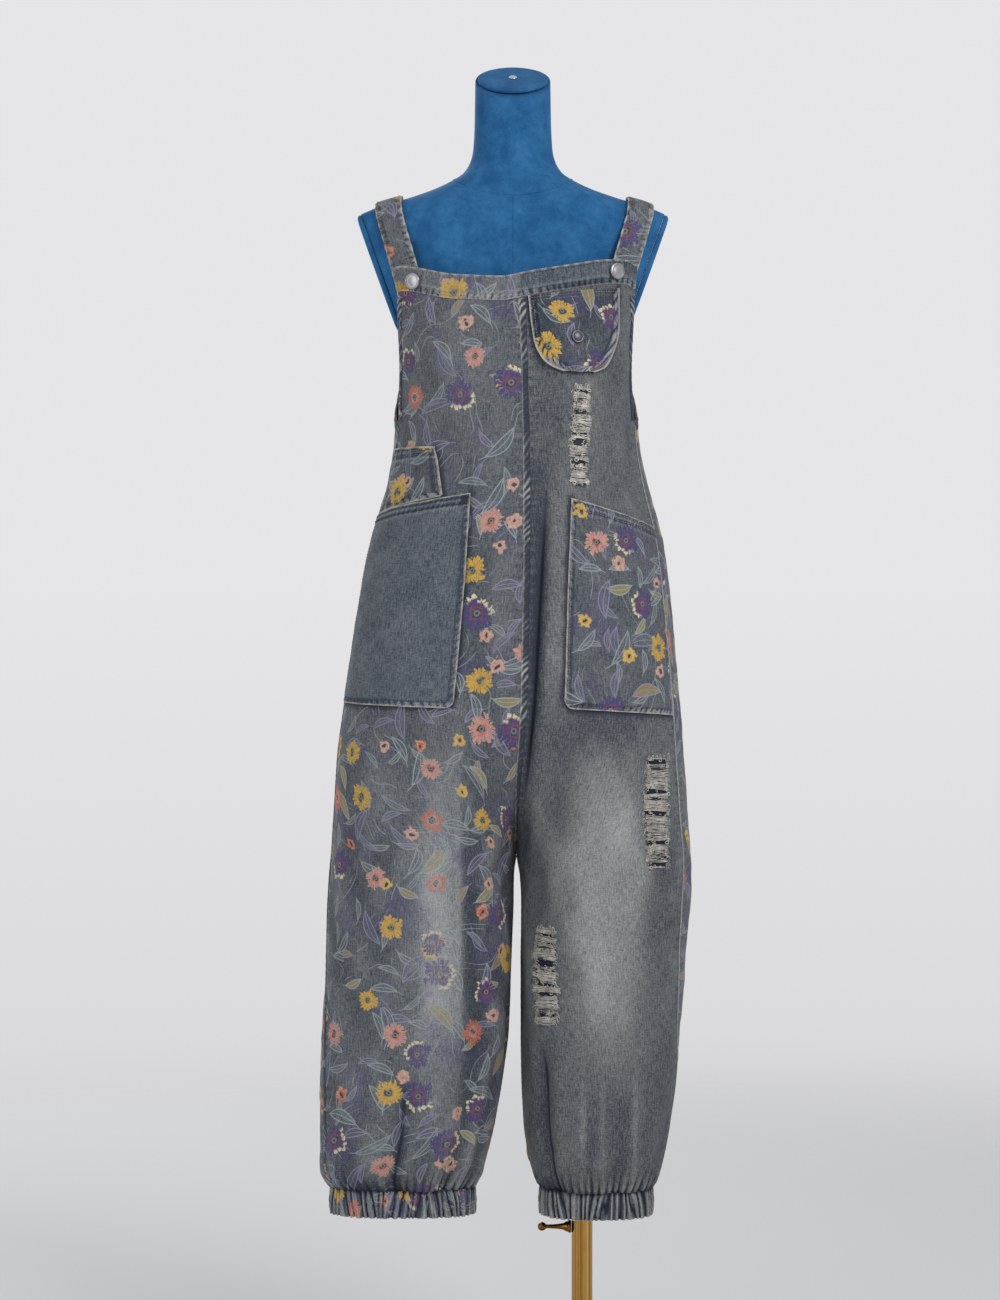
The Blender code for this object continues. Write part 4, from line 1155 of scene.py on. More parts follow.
@dataclass(frozen=True)
class Metal:
    """A bare or plated metal: smooth, with faint rubbed marks that blur its reflections."""

    name: str
    slot: str
    colour: str
    tarnish: str
    roughness: float
    grain: tuple[float, float, float]  # size of its marks, in millimetres
    drawn: tuple[tuple[float, float, str], ...] = ()  # painted reflections: how many streaks, where they start, colour

    def material(self) -> bpy.types.Material:
        """Makes the material from the metal, its tarnish and its marks.

        Returns:
            The material.
        """
        graph = Graph(self.name)
        scale = tuple(1 / (size * MM) for size in self.grain)
        place = graph.add("TexCoord", out="Object")
        spot = graph.add("Mapping", {"Vector": place, "Scale": scale})
        marks = graph.add("TexNoise", {"Vector": spot, "Scale": 1.0, "Detail": 3.0})
        spots = graph.add("TexNoise", {"Vector": place, "Scale": 60.0, "Detail": 3.0})
        amount = graph.formula("clip((spots - 0.5) * 3) * 0.5", spots=spots)
        colour = graph.paint(linear(self.colour), (linear(self.tarnish), amount))
        if self.drawn:
            # Painted reflections: light and dark streaks down the tube's whole length, round its
            # axis.
            x, y, _ = graph.add("SeparateXYZ", {0: place}).node.outputs
            angle = graph.formula("atan2(y, x)", x=x, y=y)
            for scale, start, shade in self.drawn:
                noise = {"W": angle, "Scale": scale, "Detail": 1.5}
                streak = graph.add("TexNoise", noise, noise_dimensions="1D")
                amount = graph.formula("clip((s - start) * 14) * 0.85", s=streak, start=start)
                colour = graph.paint(colour, (linear(shade), amount))
        rough = graph.formula("low + 0.14 * clip(marks * 2 - 0.7)", low=self.roughness, marks=marks)
        bump = graph.add("Bump", {"Height": marks, "Strength": 0.12, "Distance": 0.0002})
        return graph.finish(colour, Metallic=1.0, Roughness=rough, Normal=bump)


# The denims: grey-blue, with the charcoal of the dyed warp and the pale weft showing through.
PRINTED = Denim(
    "stone_washed_denim_printed", "printed_denim", "#3a4049", "#9fa3a4", 0.20, FlowerPrint()
)
PLAIN = Denim("stone_washed_denim_plain", "plain_denim", "#3b4049", "#a6a9a6", 0.22)
POCKETING = Denim("stone_washed_denim_pocket", "plain_denim", "#3a424d", "#9fa6a8", 0.19)
# The threads lie dull on the cloth; the bared weft is soft, off white and looser.
CHARCOAL_THREAD = Yarn("spun_polyester_thread_charcoal", "plain_denim", "#343c48")
TAN_THREAD = Yarn("spun_polyester_thread_tan", "printed_denim", "#a08c6c")
GREY_THREAD = Yarn("spun_polyester_thread_grey", "printed_denim", "#9a9d9a")
BARED_WEFT = Yarn("undyed_cotton_weft_frayed", "plain_denim", "#dedad0", 1.4)
SOILED_WEFT = Yarn("undyed_cotton_weft_greyed", "plain_denim", "#cbc8bf", 1.4)
# Peacock blue, paler where the pile has been brushed towards the eye.
PILE = Velvet("flocked_cotton_velvet_blue", "velvet", "#1f5484", "#3f7eb0")
# The metals: white nickel with blurred lights, dark plate, plain steel, and warm brass, with
# painted reflections streaked down the drawn tubes, nearly black on the handled screw and satin on
# the foot.
NICKEL = Metal("nickel_plated_brass_polished", "nickel", "#9c9ca1", "#66666b", 0.27, (0.8,) * 3)
GUNMETAL = Metal(
    "gunmetal_plated_brass_rubbed", "dark_metal", "#55565b", "#2f3033", 0.34, (0.8,) * 3
)
STEEL = Metal("turned_steel_plain", "steel", "#b9bbbd", "#8e9092", 0.30, (0.6,) * 3)
BRASS = Metal(
    "drawn_brass_tube_polished", "brass", "#bd9150", "#8d622c", 0.17, (0.9, 0.9, 40.0),
    ((2.1, 0.52, "#9a7034"), (4.7, 0.58, "#5f3f17"), (3.3, 0.60, "#d9b67c")),
)  # fmt: skip
AGED_BRASS = Metal("turned_brass_darkened", "brass", "#7d5a2b", "#241c14", 0.26, (0.8, 0.8, 0.8))
CAST_BRASS = Metal("spun_brass_plate_satin", "brass", "#b8934f", "#8d6a38", 0.34, (14.0, 14.0, 1.0))
Finish = Denim | Yarn | Velvet | Metal


class Thread(Enum):
    """The sewing threads."""

    GREY = GREY_THREAD
    CHARCOAL = CHARCOAL_THREAD
    TAN = TAN_THREAD


MATERIALS: dict[str, bpy.types.Material] = {}


# ---------------------------------------------------------------------------- meshes
def add_object(name: str, data: bpy.types.ID) -> bpy.types.Object:
    """Puts a new object in the scene.

    Args:
        name: Its name.
        data: Its mesh, lamp or camera.

    Returns:
        The object.
    """
    made = bpy.data.objects.new(name, data)
    bpy.context.scene.collection.objects.link(made)
    return made


def make_piece(
    name: str,
    points: Array,
    faces: Sequence,
    finish: Finish,
    body: str = "form",
    replaces: Sequence[str] = (),
    sharp: float = 55,
) -> bpy.types.Object:
    """Makes a piece from points and faces and dresses it.

    Args:
        name: The piece's name.
        points: Its points, in metres.
        faces: The points of each face.
        finish: What it is made of.
        body: The body that it rides on.
        replaces: The solids that it stands for.
        sharp: Edges that turn by more degrees than this are left sharp.

    Returns:
        The new object.
    """
    if finish.name not in MATERIALS:
        MATERIALS[finish.name] = finish.material()
    mesh = bpy.data.meshes.new(name)
    mesh.from_pydata(np.asarray(points).reshape(-1, 3), [], faces)
    mesh.shade_smooth()
    mesh.set_sharp_from_angle(angle=math.radians(sharp))
    mesh.materials.append(MATERIALS[finish.name])
    made = add_object(name, mesh)
    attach(made, body)
    if replaces:
        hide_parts(*replaces)
    LOG.info("made %s, %d faces", name, len(mesh.polygons))
    return made


def numbered(points: Array) -> Array:
    """The number of each point in a grid of points."""
    return np.arange(points[..., 0].size).reshape(points.shape[:-1])


def grid_faces(index: Array, ring: bool) -> Array:
    """Four-sided faces over a grid of point numbers; a ring's rows close on themselves."""
    left, right = (index, np.roll(index, -1, axis=1)) if ring else (index[:, :-1], index[:, 1:])
    return np.stack([left[:-1], right[:-1], right[1:], left[1:]], axis=-1).reshape(-1, 4)


def closed_faces(index: Array) -> list[tuple[int, ...]]:
    """Faces over rings of point numbers, with the first and the last ring filled in."""
    sides = [tuple(face) for face in grid_faces(index, True).tolist()]
    return [*sides, tuple(index[0, ::-1].tolist()), tuple(index[-1].tolist())]


@dataclass
class Skin:
    """A cloth piece's outer side, as rows and columns of points, and how the cloth looks there."""

    points: Array
    flat: Array  # the same places on the cloth laid flat, in metres
    fade: Array | float = 0.0  # above 0 is paler, below 0 is darker
    worn: Array | float = 0.0  # rubbed down to bare cotton
    ring: bool = False

    def directions(self) -> tuple[Array, bool]:
        """The outward directions, and whether the faces have to be turned round.

        Returns:
            Directions of length 1, and whether they were turned round.
        """
        if self.ring:
            across = np.roll(self.points, -1, axis=1) - np.roll(self.points, 1, axis=1)
        else:
            across = np.gradient(self.points, axis=1)
        out = unit(np.cross(across, np.gradient(self.points, axis=0)))
        inside = self.points.mean(axis=(0, 1)) * (1, 0, 1)
        turned = bool(np.sum(out * (self.points - inside)) < 0)
        return (-out if turned else out), turned

    def wall(
        self, name: str, thick: float, finish: Finish, replaces: Sequence[str] = ()
    ) -> bpy.types.Object:
        """Makes the piece as a wall of one thickness under this skin.

        Its inside, which hardly shows, has every second row of points and the last one.

        Args:
            name: The piece's name.
            thick: The wall's thickness.
            finish: What it is made of.
            replaces: The solids that it stands for.

        Returns:
            The piece.
        """
        out, turned = self.directions()
        index = numbered(self.points)
        kept = np.unique(np.append(np.arange(0, len(index), 2), len(index) - 1))
        under = np.full(index.shape, -1)
        under[kept] = numbered(self.points[kept]) + index.size
        if self.ring:
            loops = [index[0], index[-1, ::-1]]
        else:
            loops = [
                np.concatenate([index[0, :-1], index[:-1, -1], index[-1, :0:-1], index[:0:-1, 0]])
            ]
        faces = grid_faces(index, self.ring).tolist()
        faces += grid_faces(under[kept], self.ring)[:, ::-1].tolist()
        for loop in loops:
            loop = [*loop.tolist(), int(loop[0])]
            below = under.ravel()[loop].tolist()
            start = 0
            for end in range(1, len(loop)):
                if below[end] >= 0:
                    faces.append([*loop[start : end + 1][::-1], below[start], below[end]])
                    start = end
        if turned:
            faces = [face[::-1] for face in faces]
        inside = (self.points - thick * out)[kept]
        points = np.concatenate([self.points.reshape(-1, 3), inside.reshape(-1, 3)])
        piece = make_piece(name, points, faces, finish, "form", replaces)
        mesh = piece.data
        for key in ("fade", "worn"):
            values = np.broadcast_to(getattr(self, key), index.shape)
            values = np.concatenate([values.ravel(), values[kept].ravel()])
            layer = mesh.attributes.new(key, "FLOAT", "POINT")
            layer.data.foreach_set("value", values.astype(np.float32))
        corners = np.empty(len(mesh.loops), np.int32)
        mesh.loops.foreach_get("vertex_index", corners)
        flat = np.concatenate([self.flat.reshape(-1, 2), self.flat[kept].reshape(-1, 2)])[corners]
        mesh.uv_layers.new(name="cloth").data.foreach_set("uv", flat.ravel().astype(np.float32))
        return piece


Made = tuple[bpy.types.Object, Skin]


@dataclass
class Bundle:
    """Many short threads, made as one piece."""

    points: list[Array] = field(default_factory=list)
    faces: list[tuple] = field(default_factory=list)
    count: int = 0

    def threads(self, paths: Array, outs: Array, radius: Array | float, sides: int = 5) -> None:
        """Adds round threads.

        Args:
            paths: The threads' middle lines, as threads, places along them and coordinates.
            outs: The directions away from the cloth there, alike.
            radius: The radius at each place.
            sides: How many sides they have.
        """
        run = unit(np.gradient(paths, axis=1))
        across = unit(np.cross(run, outs))
        up = np.cross(across, run)
        angles = np.arange(sides) * 2 * math.pi / sides
        c, s = np.cos(angles)[:, None], np.sin(angles)[:, None]
        turn = c * up[:, :, None] + s * across[:, :, None]
        radius = np.broadcast_to(radius, paths.shape[:2])
        rings = paths[:, :, None] + radius[..., None, None] * turn
        for thread in numbered(rings) + self.count:
            self.faces += closed_faces(thread)
        self.points.append(rings.reshape(-1, 3))
        self.count += len(self.points[-1])

    def stitches(
        self, line: Array, outs: Array, pitch: float = 0.0034, thick: float = 0.00065
    ) -> None:
        """Sews one row of stitches.

        Args:
            line: Close points along the row.
            outs: The directions away from the cloth at them.
            pitch: From stitch to stitch.
            thick: The thread's thickness.
        """
        gone = gone_along(line)
        middles = np.arange(pitch * 0.6, gone[-1] - pitch * 0.4, pitch)
        if not len(middles):
            return
        wanted = middles[:, None] + np.array([-0.34, 0, 0.34]) * pitch
        paths, ups = read_line(line, gone, wanted), unit(read_line(outs, gone, wanted))
        paths = paths + ups * (np.array([-0.15, 0.45, -0.15]) * thick)[:, None]
        self.threads(paths, ups, np.array([0.26, 0.5, 0.26]) * thick)

    def make(self, name: str, finish: Finish, body: str = "form") -> bpy.types.Object:
        """Makes all of them as one piece."""
        return make_piece(name, np.concatenate(self.points), self.faces, finish, body, sharp=80)


def turned_piece(
    name: str,
    profile: Sequence[tuple[float, float]],
    finish: Finish,
    place: Matrix = Matrix(),
    body: str = "form",
    steps: int = 72,
) -> bpy.types.Object:
    """Turns a profile about its own Z and puts it in its place.

    Args:
        name: The name of the solid that it stands for.
        profile: Radius and height, in millimetres, from the foot up; its ends are closed flat.
        finish: What it is made of.
        place: Where it goes.
        body: The body that it rides on.
        steps: How many sides it has.

    Returns:
        The new object.
    """
    angles = np.arange(steps) * 2 * math.pi / steps
    profile = [row for row in profile if row[0] > 0]
    radius, height = (np.array(column, float)[:, None] * MM for column in zip(*profile))
    rings = np.stack(
        [radius * np.cos(angles), radius * np.sin(angles), height + 0 * angles], axis=-1
    )
    points, faces = rings.reshape(-1, 3), closed_faces(numbered(rings))
    if profile[0] == profile[-1]:
        # A tube's profile ends where it starts.
        points = points[:-steps]
        faces = [tuple(i % len(points) for i in face) for face in faces[:-2]]
    matrix = np.array(place)
    points = points @ matrix[:3, :3].T + matrix[:3, 3]
    return make_piece(name + "_turned", points, faces, finish, body, (name,), sharp=32)


# ---------------------------------------------------------------------------- cut and sewn pieces
def flat_places(cloth: Cloth, side: Side, face: Face, z: Array, share: Array) -> Array:
    """Where places on a panel lie on its flat cloth, with u from the panel's middle."""
    z, share = np.broadcast_arrays(z, share)
    return np.stack([side * (share - 0.5) * cloth.length(side, face, z), z], axis=-1)


def declare_sheet(
    piece: bpy.types.Object,
    skin: Skin,
) -> None:
    """Works out a cloth piece's size, cut to its skin laid flat, and logs it.

    Args:
        piece: The piece.
        skin: Its skin.
    """
    grid = skin.flat
    steps = np.abs(np.diff(grid[..., 0], axis=1)).sum(axis=1)
    if skin.ring:
        # A gathered ring was cut as long as it is in and out of its pleats.
        loop = np.diff(skin.points, axis=1, append=skin.points[:, :1])
        steps = np.full(len(grid), np.linalg.norm(loop, axis=2).sum(axis=1).mean())
    heights = np.abs(np.gradient(grid[..., 1], axis=0)).mean(axis=1)
    width, length = float(steps.max()), float(np.ptp(grid[..., 1]))
    area = min(float((steps * heights).sum()), width * length)
    LOG.info("%s: cut %.0f by %.0f mm, %.0f sq cm", piece.name, width / MM, length / MM, area * 1e4)


@dataclass
class Panel:
    """A leg with half the bib or back, cut in one piece from the top edge to the cuff."""

    side: Side
    face: Face
    finish: Denim
    columns: int
    row: float = 0.003
    shaped_to: float = 1.285  # below this its rows are level
    foot: float = CUFF_TOP_Z + GAP
    calm: float = 0.0  # how much softer the folds' wear and painted shade are towards the foot
    rips: tuple["Rip", ...] = ()  # inside them the panel gets painted shade, for the hole

    @property
    def name(self) -> str:
        """The solid's name."""
        return f"{self.face.name.lower()}_{SIDE_NAMES[self.side]}"

    @property
    def shift(self) -> tuple[float, float]:
        """Where on the cloth it was cut."""
        return 0.37 * self.side + 0.9, 0.21 * self.face + 0.13 * self.side

    def places(self, cloth: Cloth) -> tuple[Array, Array]:
        """Heights and shares of the panel's grid.

        Args:
            cloth: The worn cloth's surface.

        Returns:
            Heights and shares, by row and column.
        """
        shares = np.linspace(0, 1, self.columns)
        level = np.arange(self.shaped_to, 0.316, -self.row)
        level = np.concatenate([level, np.arange(0.316, self.foot, -0.0015), [self.foot]])
        if self.face is Face.FRONT:
            top = cloth.top(self.side, shares) - BAND_DEPTH - GAP
            down = np.linspace(0, 1, 18)[:-1, None]
            upper = top + down * (self.shaped_to - top)
        else:
            upper = np.arange(BACK_TOP_Z, self.shaped_to, -self.row)[:, None] + 0 * shares
        z = np.concatenate([upper, level[:, None] + 0 * shares])
        cut = np.zeros(z.shape)
        if self.face is Face.BACK:
            cut = np.where(z > ARMHOLE_Z, ARMHOLE.read("share", z), 0.0)
        return z, cut + (1 - cut) * shares

    def faded(self, cloth: Cloth, x: Array, z: Array, share: Array) -> Array:
        """How faded it is by the wash and its seams, its creases' wear, and painted light and shade
        on creases and foot.

        Args:
            cloth: The worn cloth's surface.
            x: X from the form's middle.
            z: Heights.
            share: Shares of the way round.

        Returns:
            The fade, above 0 where it is paler.
        """
        side, face = self.side, self.face
        _, _, crease_wear_and_shade = cloth.relief(side, face, z, share)
        fade = sum(wash.at(x, z) for wash in WASHES_AND_SHADES[side, face])
        # The painted shade of the deepest lines stays dark where the rest is calm.
        calm = self.calm * ease((0.60 - z) / 0.20) * ease((crease_wear_and_shade + 0.9) / 0.5)
        fade = fade + crease_wear_and_shade * (1 - calm)
        # Painted highlights and shade on the gathers above the cuff, and painted shade along the
        # foot.
        foot_run = share * cloth.length(side, face, np.full(z.shape, CUFF_TOP_Z))
        drawn = gathers(foot_run, gather_seed(side, face)) - 0.60
        fade = fade + 2.4 * drawn * bell(z - self.foot, 0.013)
        fade = fade - 0.7 * bell(z - self.foot, 0.0032)
        edge = np.minimum(share, 1 - share) * cloth.length(side, face, z)
        return fade + 0.25 * np.sin(z / 0.0016 + 3 * np.sin(z / 0.019)) * bell(edge, 0.012)

    def build(self, cloth: Cloth, edges: Sequence[Array]) -> Made:
        """Makes the panel.

        Args:
            cloth: The surface it follows.
            edges: Points round the sewn pieces, beside which the panel gets a painted shadow.

        Returns:
            The piece and its skin.
        """
        z, share = self.places(cloth)
        points = cloth.place(self.side, self.face, z, share)
        x = points[..., 0] - FORM_X
        fade = self.faded(cloth, x, z, share)
        # A painted shadow on the panel, along the sewn pieces' free edges.
        for edge in edges:
            near = np.full(z.shape, 1.0)
            for spot in edge:
                near = np.minimum(near, np.linalg.norm(points - spot, axis=-1))
            fade = fade - 1.2 * bell(near, 0.0042)
        # Painted shade inside the rips, for the dark of the hole under the bared weft.
        for rip in self.rips:
            fade = fade - rip.dark * rip.inside(x, z)
        flat = flat_places(cloth, self.side, self.face, z, share) + np.array(self.shift)
        skin = Skin(points, flat, fade, 0.0)
        return skin.wall(self.name + "_cloth", DENIM_WALL, self.finish, (self.name,)), skin


@dataclass
class Band:
    """The doubled top hem of one half of the bib."""

    side: Side
    finish: Denim
    columns: int = 130
    rows: int = 24
    proud: float = 0.0007
    pale: float = 0.2
    shift: tuple[float, float] = (0.3, 0.1)

    def places(self, cloth: Cloth, down: Array, share: Array) -> tuple[Array, Array]:
        """Heights and shares at shares of the way down the band."""
        return cloth.top(self.side, share) - down * BAND_DEPTH, share

    def build(self, cloth: Cloth) -> Made:
        """Makes the band, rolled at its top edge and puckered along its foot.

        Args:
            cloth: The worn cloth's surface.

        Returns:
            The piece and its skin.
        """
        shares = np.linspace(0, 1, self.columns)[None] + np.zeros((self.rows, 1))
        down = np.linspace(0, 1, self.rows)[:, None] + np.zeros((1, self.columns))
        z, share = self.places(cloth, down, shares)
        run = share * cloth.length(self.side, Face.FRONT, z)
        top, low = down * BAND_DEPTH, (1 - down) * BAND_DEPTH
        foot, roll = bell(low - 0.004, 0.0035), bell(top, 0.0022)
        pucker = gathers(run, 1.3 * self.side) - 0.5
        out = self.proud + 0.0009 * foot * pucker + 0.0003 * ripple(run, z, 5, 0.03) - 0.0006 * roll
        points = cloth.place(self.side, Face.FRONT, z, share, out)
        streaks = np.sin(run / 0.0023 + 2 * np.sin(run / 0.009)) * ripple(run, z, 8, 0.02)
        fade = self.pale + 3.4 * foot * pucker + 0.10 * ripple(run, z, 6, 0.012) + 0.16 * streaks
        fade = fade + 0.5 * bell(low - 0.0095, 0.0012)
        worn = 0.9 * bell(top, 0.0024) * (0.7 + 0.3 * np.sin(run / 0.0021))
        worn = worn + 0.5 * bell(low, RUBBED)
        flat = flat_places(cloth, self.side, Face.FRONT, z, share) + np.array(self.shift)
        name = "bib_band_" + SIDE_NAMES[self.side]
        skin = Skin(points, flat, fade, worn)
        return skin.wall(name + "_cloth", DENIM_WALL, self.finish, (name,)), skin

    def sew(self, cloth: Cloth, bundle: Bundle) -> None:
        """Sews two rows along the band's foot and one under its top edge.

        Args:
            cloth: The worn cloth's surface.
            bundle: The bundle of stitches to add to.
        """
        shares = np.linspace(0.01, 0.99, 400)
        for drop in (0.0035, BAND_DEPTH - 0.0032, BAND_DEPTH - 0.0068):
            z, share = self.places(cloth, np.full(400, drop / BAND_DEPTH), shares)
            line = cloth.place(self.side, Face.FRONT, z, share, np.full(400, self.proud + 0.0003))
            bundle.stitches(line, cloth.normal(self.side, Face.FRONT, z, share))


@dataclass
class Patch:
    """A piece sewn on a front panel, whose places run down and across it, both 0 to 1."""

    name: str
    side: Side
    finish: Denim
    cells: tuple[int, int]  # how many down and across
    thread: Thread
    seat: float = 0.0007
    thick: float = 0.0016
    shift: tuple[float, float] = (0.0, 0.0)

    def places(self, cloth: Cloth, down: Array, across: Array) -> tuple[Array, Array]:
        """Heights and shares on the panel."""
        raise NotImplementedError

    def proud(self, down: Array, across: Array) -> Array:
        """How far its outer side stands off the panel."""
        raise NotImplementedError

    def edges(self, down: Array, across: Array) -> tuple[Array, Array, Array, Array]:
        """Distances from the top, the bottom, the side seam's edge and the inner edge."""
        raise NotImplementedError

    def line(self, cloth: Cloth, down: Array, across: Array) -> tuple[Array, Array]:
        """Points on its outer side and the directions away from it.

        Args:
            cloth: The worn cloth's surface.
            down: Shares of the way down it.
            across: Shares of the way across it.

        Returns:
            The points, and the directions.
        """
        z, share = self.places(cloth, down, across)
        out = cloth.normal(self.side, Face.FRONT, z, share)
        points = cloth.place(self.side, Face.FRONT, z, share)
        return points + self.proud(down, across)[..., None] * out, out

    def looks(self, down: Array, across: Array) -> tuple[Array, Array]:
        """How faded and how worn it is."""
        raise NotImplementedError

    def sew(self, cloth: Cloth, threads: dict[Thread, Bundle]) -> None:
        """Sews its rows of stitches."""
        raise NotImplementedError

    def free_edges(self, cloth: Cloth) -> Array:
        """Points down its inner edge and along its foot."""
        run = np.linspace(0, 1, 90)
        return self.line(cloth, np.append(run, 1 + 0 * run), np.append(1 + 0 * run, run))[0]

    def build(self, cloth: Cloth) -> Made:
        """Makes the piece.

        Args:
            cloth: The worn cloth's surface.

        Returns:
            The piece and its skin.
        """
        down, across = np.meshgrid(*(np.linspace(0, 1, n + 1) for n in self.cells), indexing="ij")
        points, _ = self.line(cloth, down, across)
        z, share = self.places(cloth, down, across)
        flat = flat_places(cloth, self.side, Face.FRONT, z, share) + np.array(self.shift)
        skin = Skin(points, flat, *self.looks(down, across))
        return skin.wall(self.name + "_cloth", self.thick, self.finish, (self.name,)), skin


def pucker_row(edge: Array, along: Array, seed: float, inset: float = 0.0030) -> Array:
    """The gathers that a row of stitches draws up beside an edge, about -0.5 to 0.5."""
    return bell(edge - inset, 0.0026) * (gathers(along, seed) - 0.5)


@dataclass
class Pocket(Patch):
    """A patch pocket with a deep doubled hem along its mouth.

    Its heights at the outer and inner corners, and its inner edge's X, are in millimetres.
    """

    outer_top: float = 0.0
    inner_top: float = 0.0
    outer_low: float = 0.0
    inner_low: float = 0.0
    inner_x: tuple[float, float, float] = (0.0, 0.0, 0.0)
    swell: float = 0.0022
    outer_x: float = 205.0  # about where its outer edge is
    hem: float = 0.013
    side_margin: float = 0.004
    corner: float = 0.011
    seed: float = 1.0
    pale: float = 0.0
    tacks: tuple[tuple[Thread, float, float], ...] = ()  # each zigzag's turns and thickness

    @property
    def width(self) -> float:
        """About how wide it is, round the leg."""
        return (self.outer_x - abs(self.inner_x[1])) * MM * 1.12

    @property
    def height(self) -> float:
        """How high its inner edge is."""
        return (self.inner_top - self.inner_low) * MM

    def places(self, cloth: Cloth, down: Array, across: Array) -> tuple[Array, Array]:
        """Heights and shares on the panel, with the lower inner corner cut round.

        Args:
            cloth: The worn cloth's surface.
            down: Shares of the way down it.
            across: Shares of the way across it.

        Returns:
            Heights and shares on the panel.
        """
        away = np.clip(self.corner - (1 - across) * self.width, 0, self.corner)
        raised = self.corner - np.sqrt(np.maximum(self.corner**2 - away**2, 0))
        top = self.outer_top + across * (self.inner_top - self.outer_top)
        low = self.outer_low + across * (self.inner_low - self.outer_low) + raised / MM
        z = (top + down * (low - top)) * MM
        xs = np.array(self.inner_x) * MM
        end_x = curve_through(np.array([0, 0.5, 1.0]), xs, down[:, :1] if down.ndim > 1 else down)
        end = cloth.share_at(self.side, Face.FRONT, z, end_x)
        start = self.side_margin / cloth.length(self.side, Face.FRONT, z)
        return z, start + across * (end - start)

    def edges(self, down: Array, across: Array) -> tuple[Array, Array, Array, Array]:
        """Distances from the top, the bottom, the outer and the inner edge.

        Args:
            down: Shares of the way down it.
            across: Shares of the way across it.

        Returns:
            The four distances, in metres.
        """
        return (
            down * self.height, (1 - down) * self.height,
            across * self.width, (1 - across) * self.width,
        )  # fmt: skip

    def proud(self, down: Array, across: Array) -> Array:
        """The seat, the pocket's slack, its hem, rolled edges and puckers.

        Args:
            down: Shares of the way down it.
            across: Shares of the way across it.

        Returns:
            Distances, in metres.
        """
        top, bottom, outer, inner = self.edges(down, across)
        slack = self.swell * np.sin(math.pi * np.clip(across, 0, 1)) ** 0.7 * (1 - 0.75 * down)
        rim = np.minimum(np.minimum(outer, inner), bottom)
        hem = 0.0009 * (1 - ease((top - self.hem + 0.0012) / 0.0012))
        roll = -0.0008 * bell(np.minimum(rim, top), 0.0013)
        pull = -0.0007 * bell(rim - 0.0032, 0.0016)
        run = self.drawn_up(down, across)
        u, v = across * self.width, down * self.height
        waves = 0.0003 * ripple(u, v, int(9 * self.seed), 0.06, 1.4)
        waves = waves * ease(rim / 0.010)
        return self.seat + self.thick + slack + hem + roll + pull + 0.0012 * run + waves

    def looks(self, down: Array, across: Array) -> tuple[Array, Array]:
        """Pale puckers and edges, and dark stitched channels.

        Args:
            down: Shares of the way down it.
            across: Shares of the way across it.

        Returns:
            How faded it is, and how rubbed to bare cotton.
        """
        top, bottom, outer, inner = self.edges(down, across)
        rim = np.minimum(np.minimum(outer, inner), bottom)
        along, high = across * self.width, down * self.height
        channel = bell(rim - 0.0062, 0.0014)
        fade = self.pale + 3.4 * self.drawn_up(down, across) - 0.60 * channel
        # The hem's two rows of stitches sit in dark dashes, with a pale ridge between and below.
        for row, (drop, gain) in enumerate(((0.0036, 1.0), (self.hem - 0.0024, 1.25))):
            phase = (along + 0.4 * top) / 0.00125 + 2 * np.sin(along / 0.011 + row)
            fade = fade - 1.5 * gain * (0.55 + 0.45 * np.sin(phase)) * bell(top - drop, 0.0015)
        fade = fade + 0.55 * bell(top - self.hem * 0.56, 0.0013)
        fade = fade + 0.85 * bell(top - self.hem - 0.0014, 0.0011)
        streaks = np.sin(high / 0.0043 + 1.5 * np.sin(along / 0.05)) * ripple(along, high, 4, 0.05)
        fade = fade + 0.07 * ripple(along, high, int(9 * self.seed), 0.09, 1.4) + 0.07 * streaks
        patchy = 0.82 + 0.18 * np.sin(high / 0.0037 + along / 0.0041)
        return fade, 1.25 * patchy * bell(np.minimum(rim, top), 0.0017)

    def drawn_up(self, down: Array, across: Array) -> Array:
        """The gathers beside the stitches along each of its edges.

        Args:
            down: Shares of the way down it.
            across: Shares of the way across it.

        Returns:
            The gathers, about -0.5 to 0.5.
        """
        top, bottom, outer, inner = self.edges(down, across)
        high, wide = down * self.height, across * self.width
        rows = (
            (inner, high, 0.0030, 0.45), (bottom, wide + 0.5 * bottom, 0.0034, 1.0),
            (outer, high, 0.0030, 0.6), (top, wide + 0.6 * top, self.hem * 0.5, 0.35),
        )  # fmt: skip
        return sum(
            gain * pucker_row(edge, along, self.seed + n, inset)
            for n, (edge, along, inset, gain) in enumerate(rows)
        )

    def sew(self, cloth: Cloth, threads: dict[Thread, Bundle]) -> None:
        """Sews two rows across the hem and one row round the other edges, and its tacks.

        Args:
            cloth: The worn cloth's surface.
            threads: The bundle of stitches in each thread.
        """
        many = 500
        along, whole = np.linspace(0.03, 0.97, many), np.ones(many)
        near = 1 - 0.0036 / self.width
        low = 1 - 0.0036 / self.height
        rows = [(whole * inset / self.height, along) for inset in (0.0042, self.hem - 0.0022)]
        rows += [(along * low, whole * near), (whole * low, along * near), (along, whole * 0.03)]
        for down, across in rows:
            threads[self.thread].stitches(*self.line(cloth, down, across))
        for thread, turns, thick in self.tacks:
            self.tack(cloth, threads[thread], turns, thick)

    def tack(self, cloth: Cloth, bundle: Bundle, turns: float, thick: float) -> None:
        """Sews a zigzag of some turns over the hem's inner corner.

        Args:
            cloth: The worn cloth's surface.
            bundle: The stitches to add to.
            turns: How many turns it has.
            thick: The thread's radius.
        """
        along = np.linspace(0, 1, 200)
        zigzag = 2 * np.abs(np.mod(along * turns, 1) - 0.5)
        down = (0.0016 + (self.hem - 0.0026) * zigzag) / self.height
        line, outs = self.line(cloth, down, 1 - (0.0105 - 0.0080 * along) / self.width)
        bundle.threads(line[None] + thick * outs[None], outs[None], thick, 5)


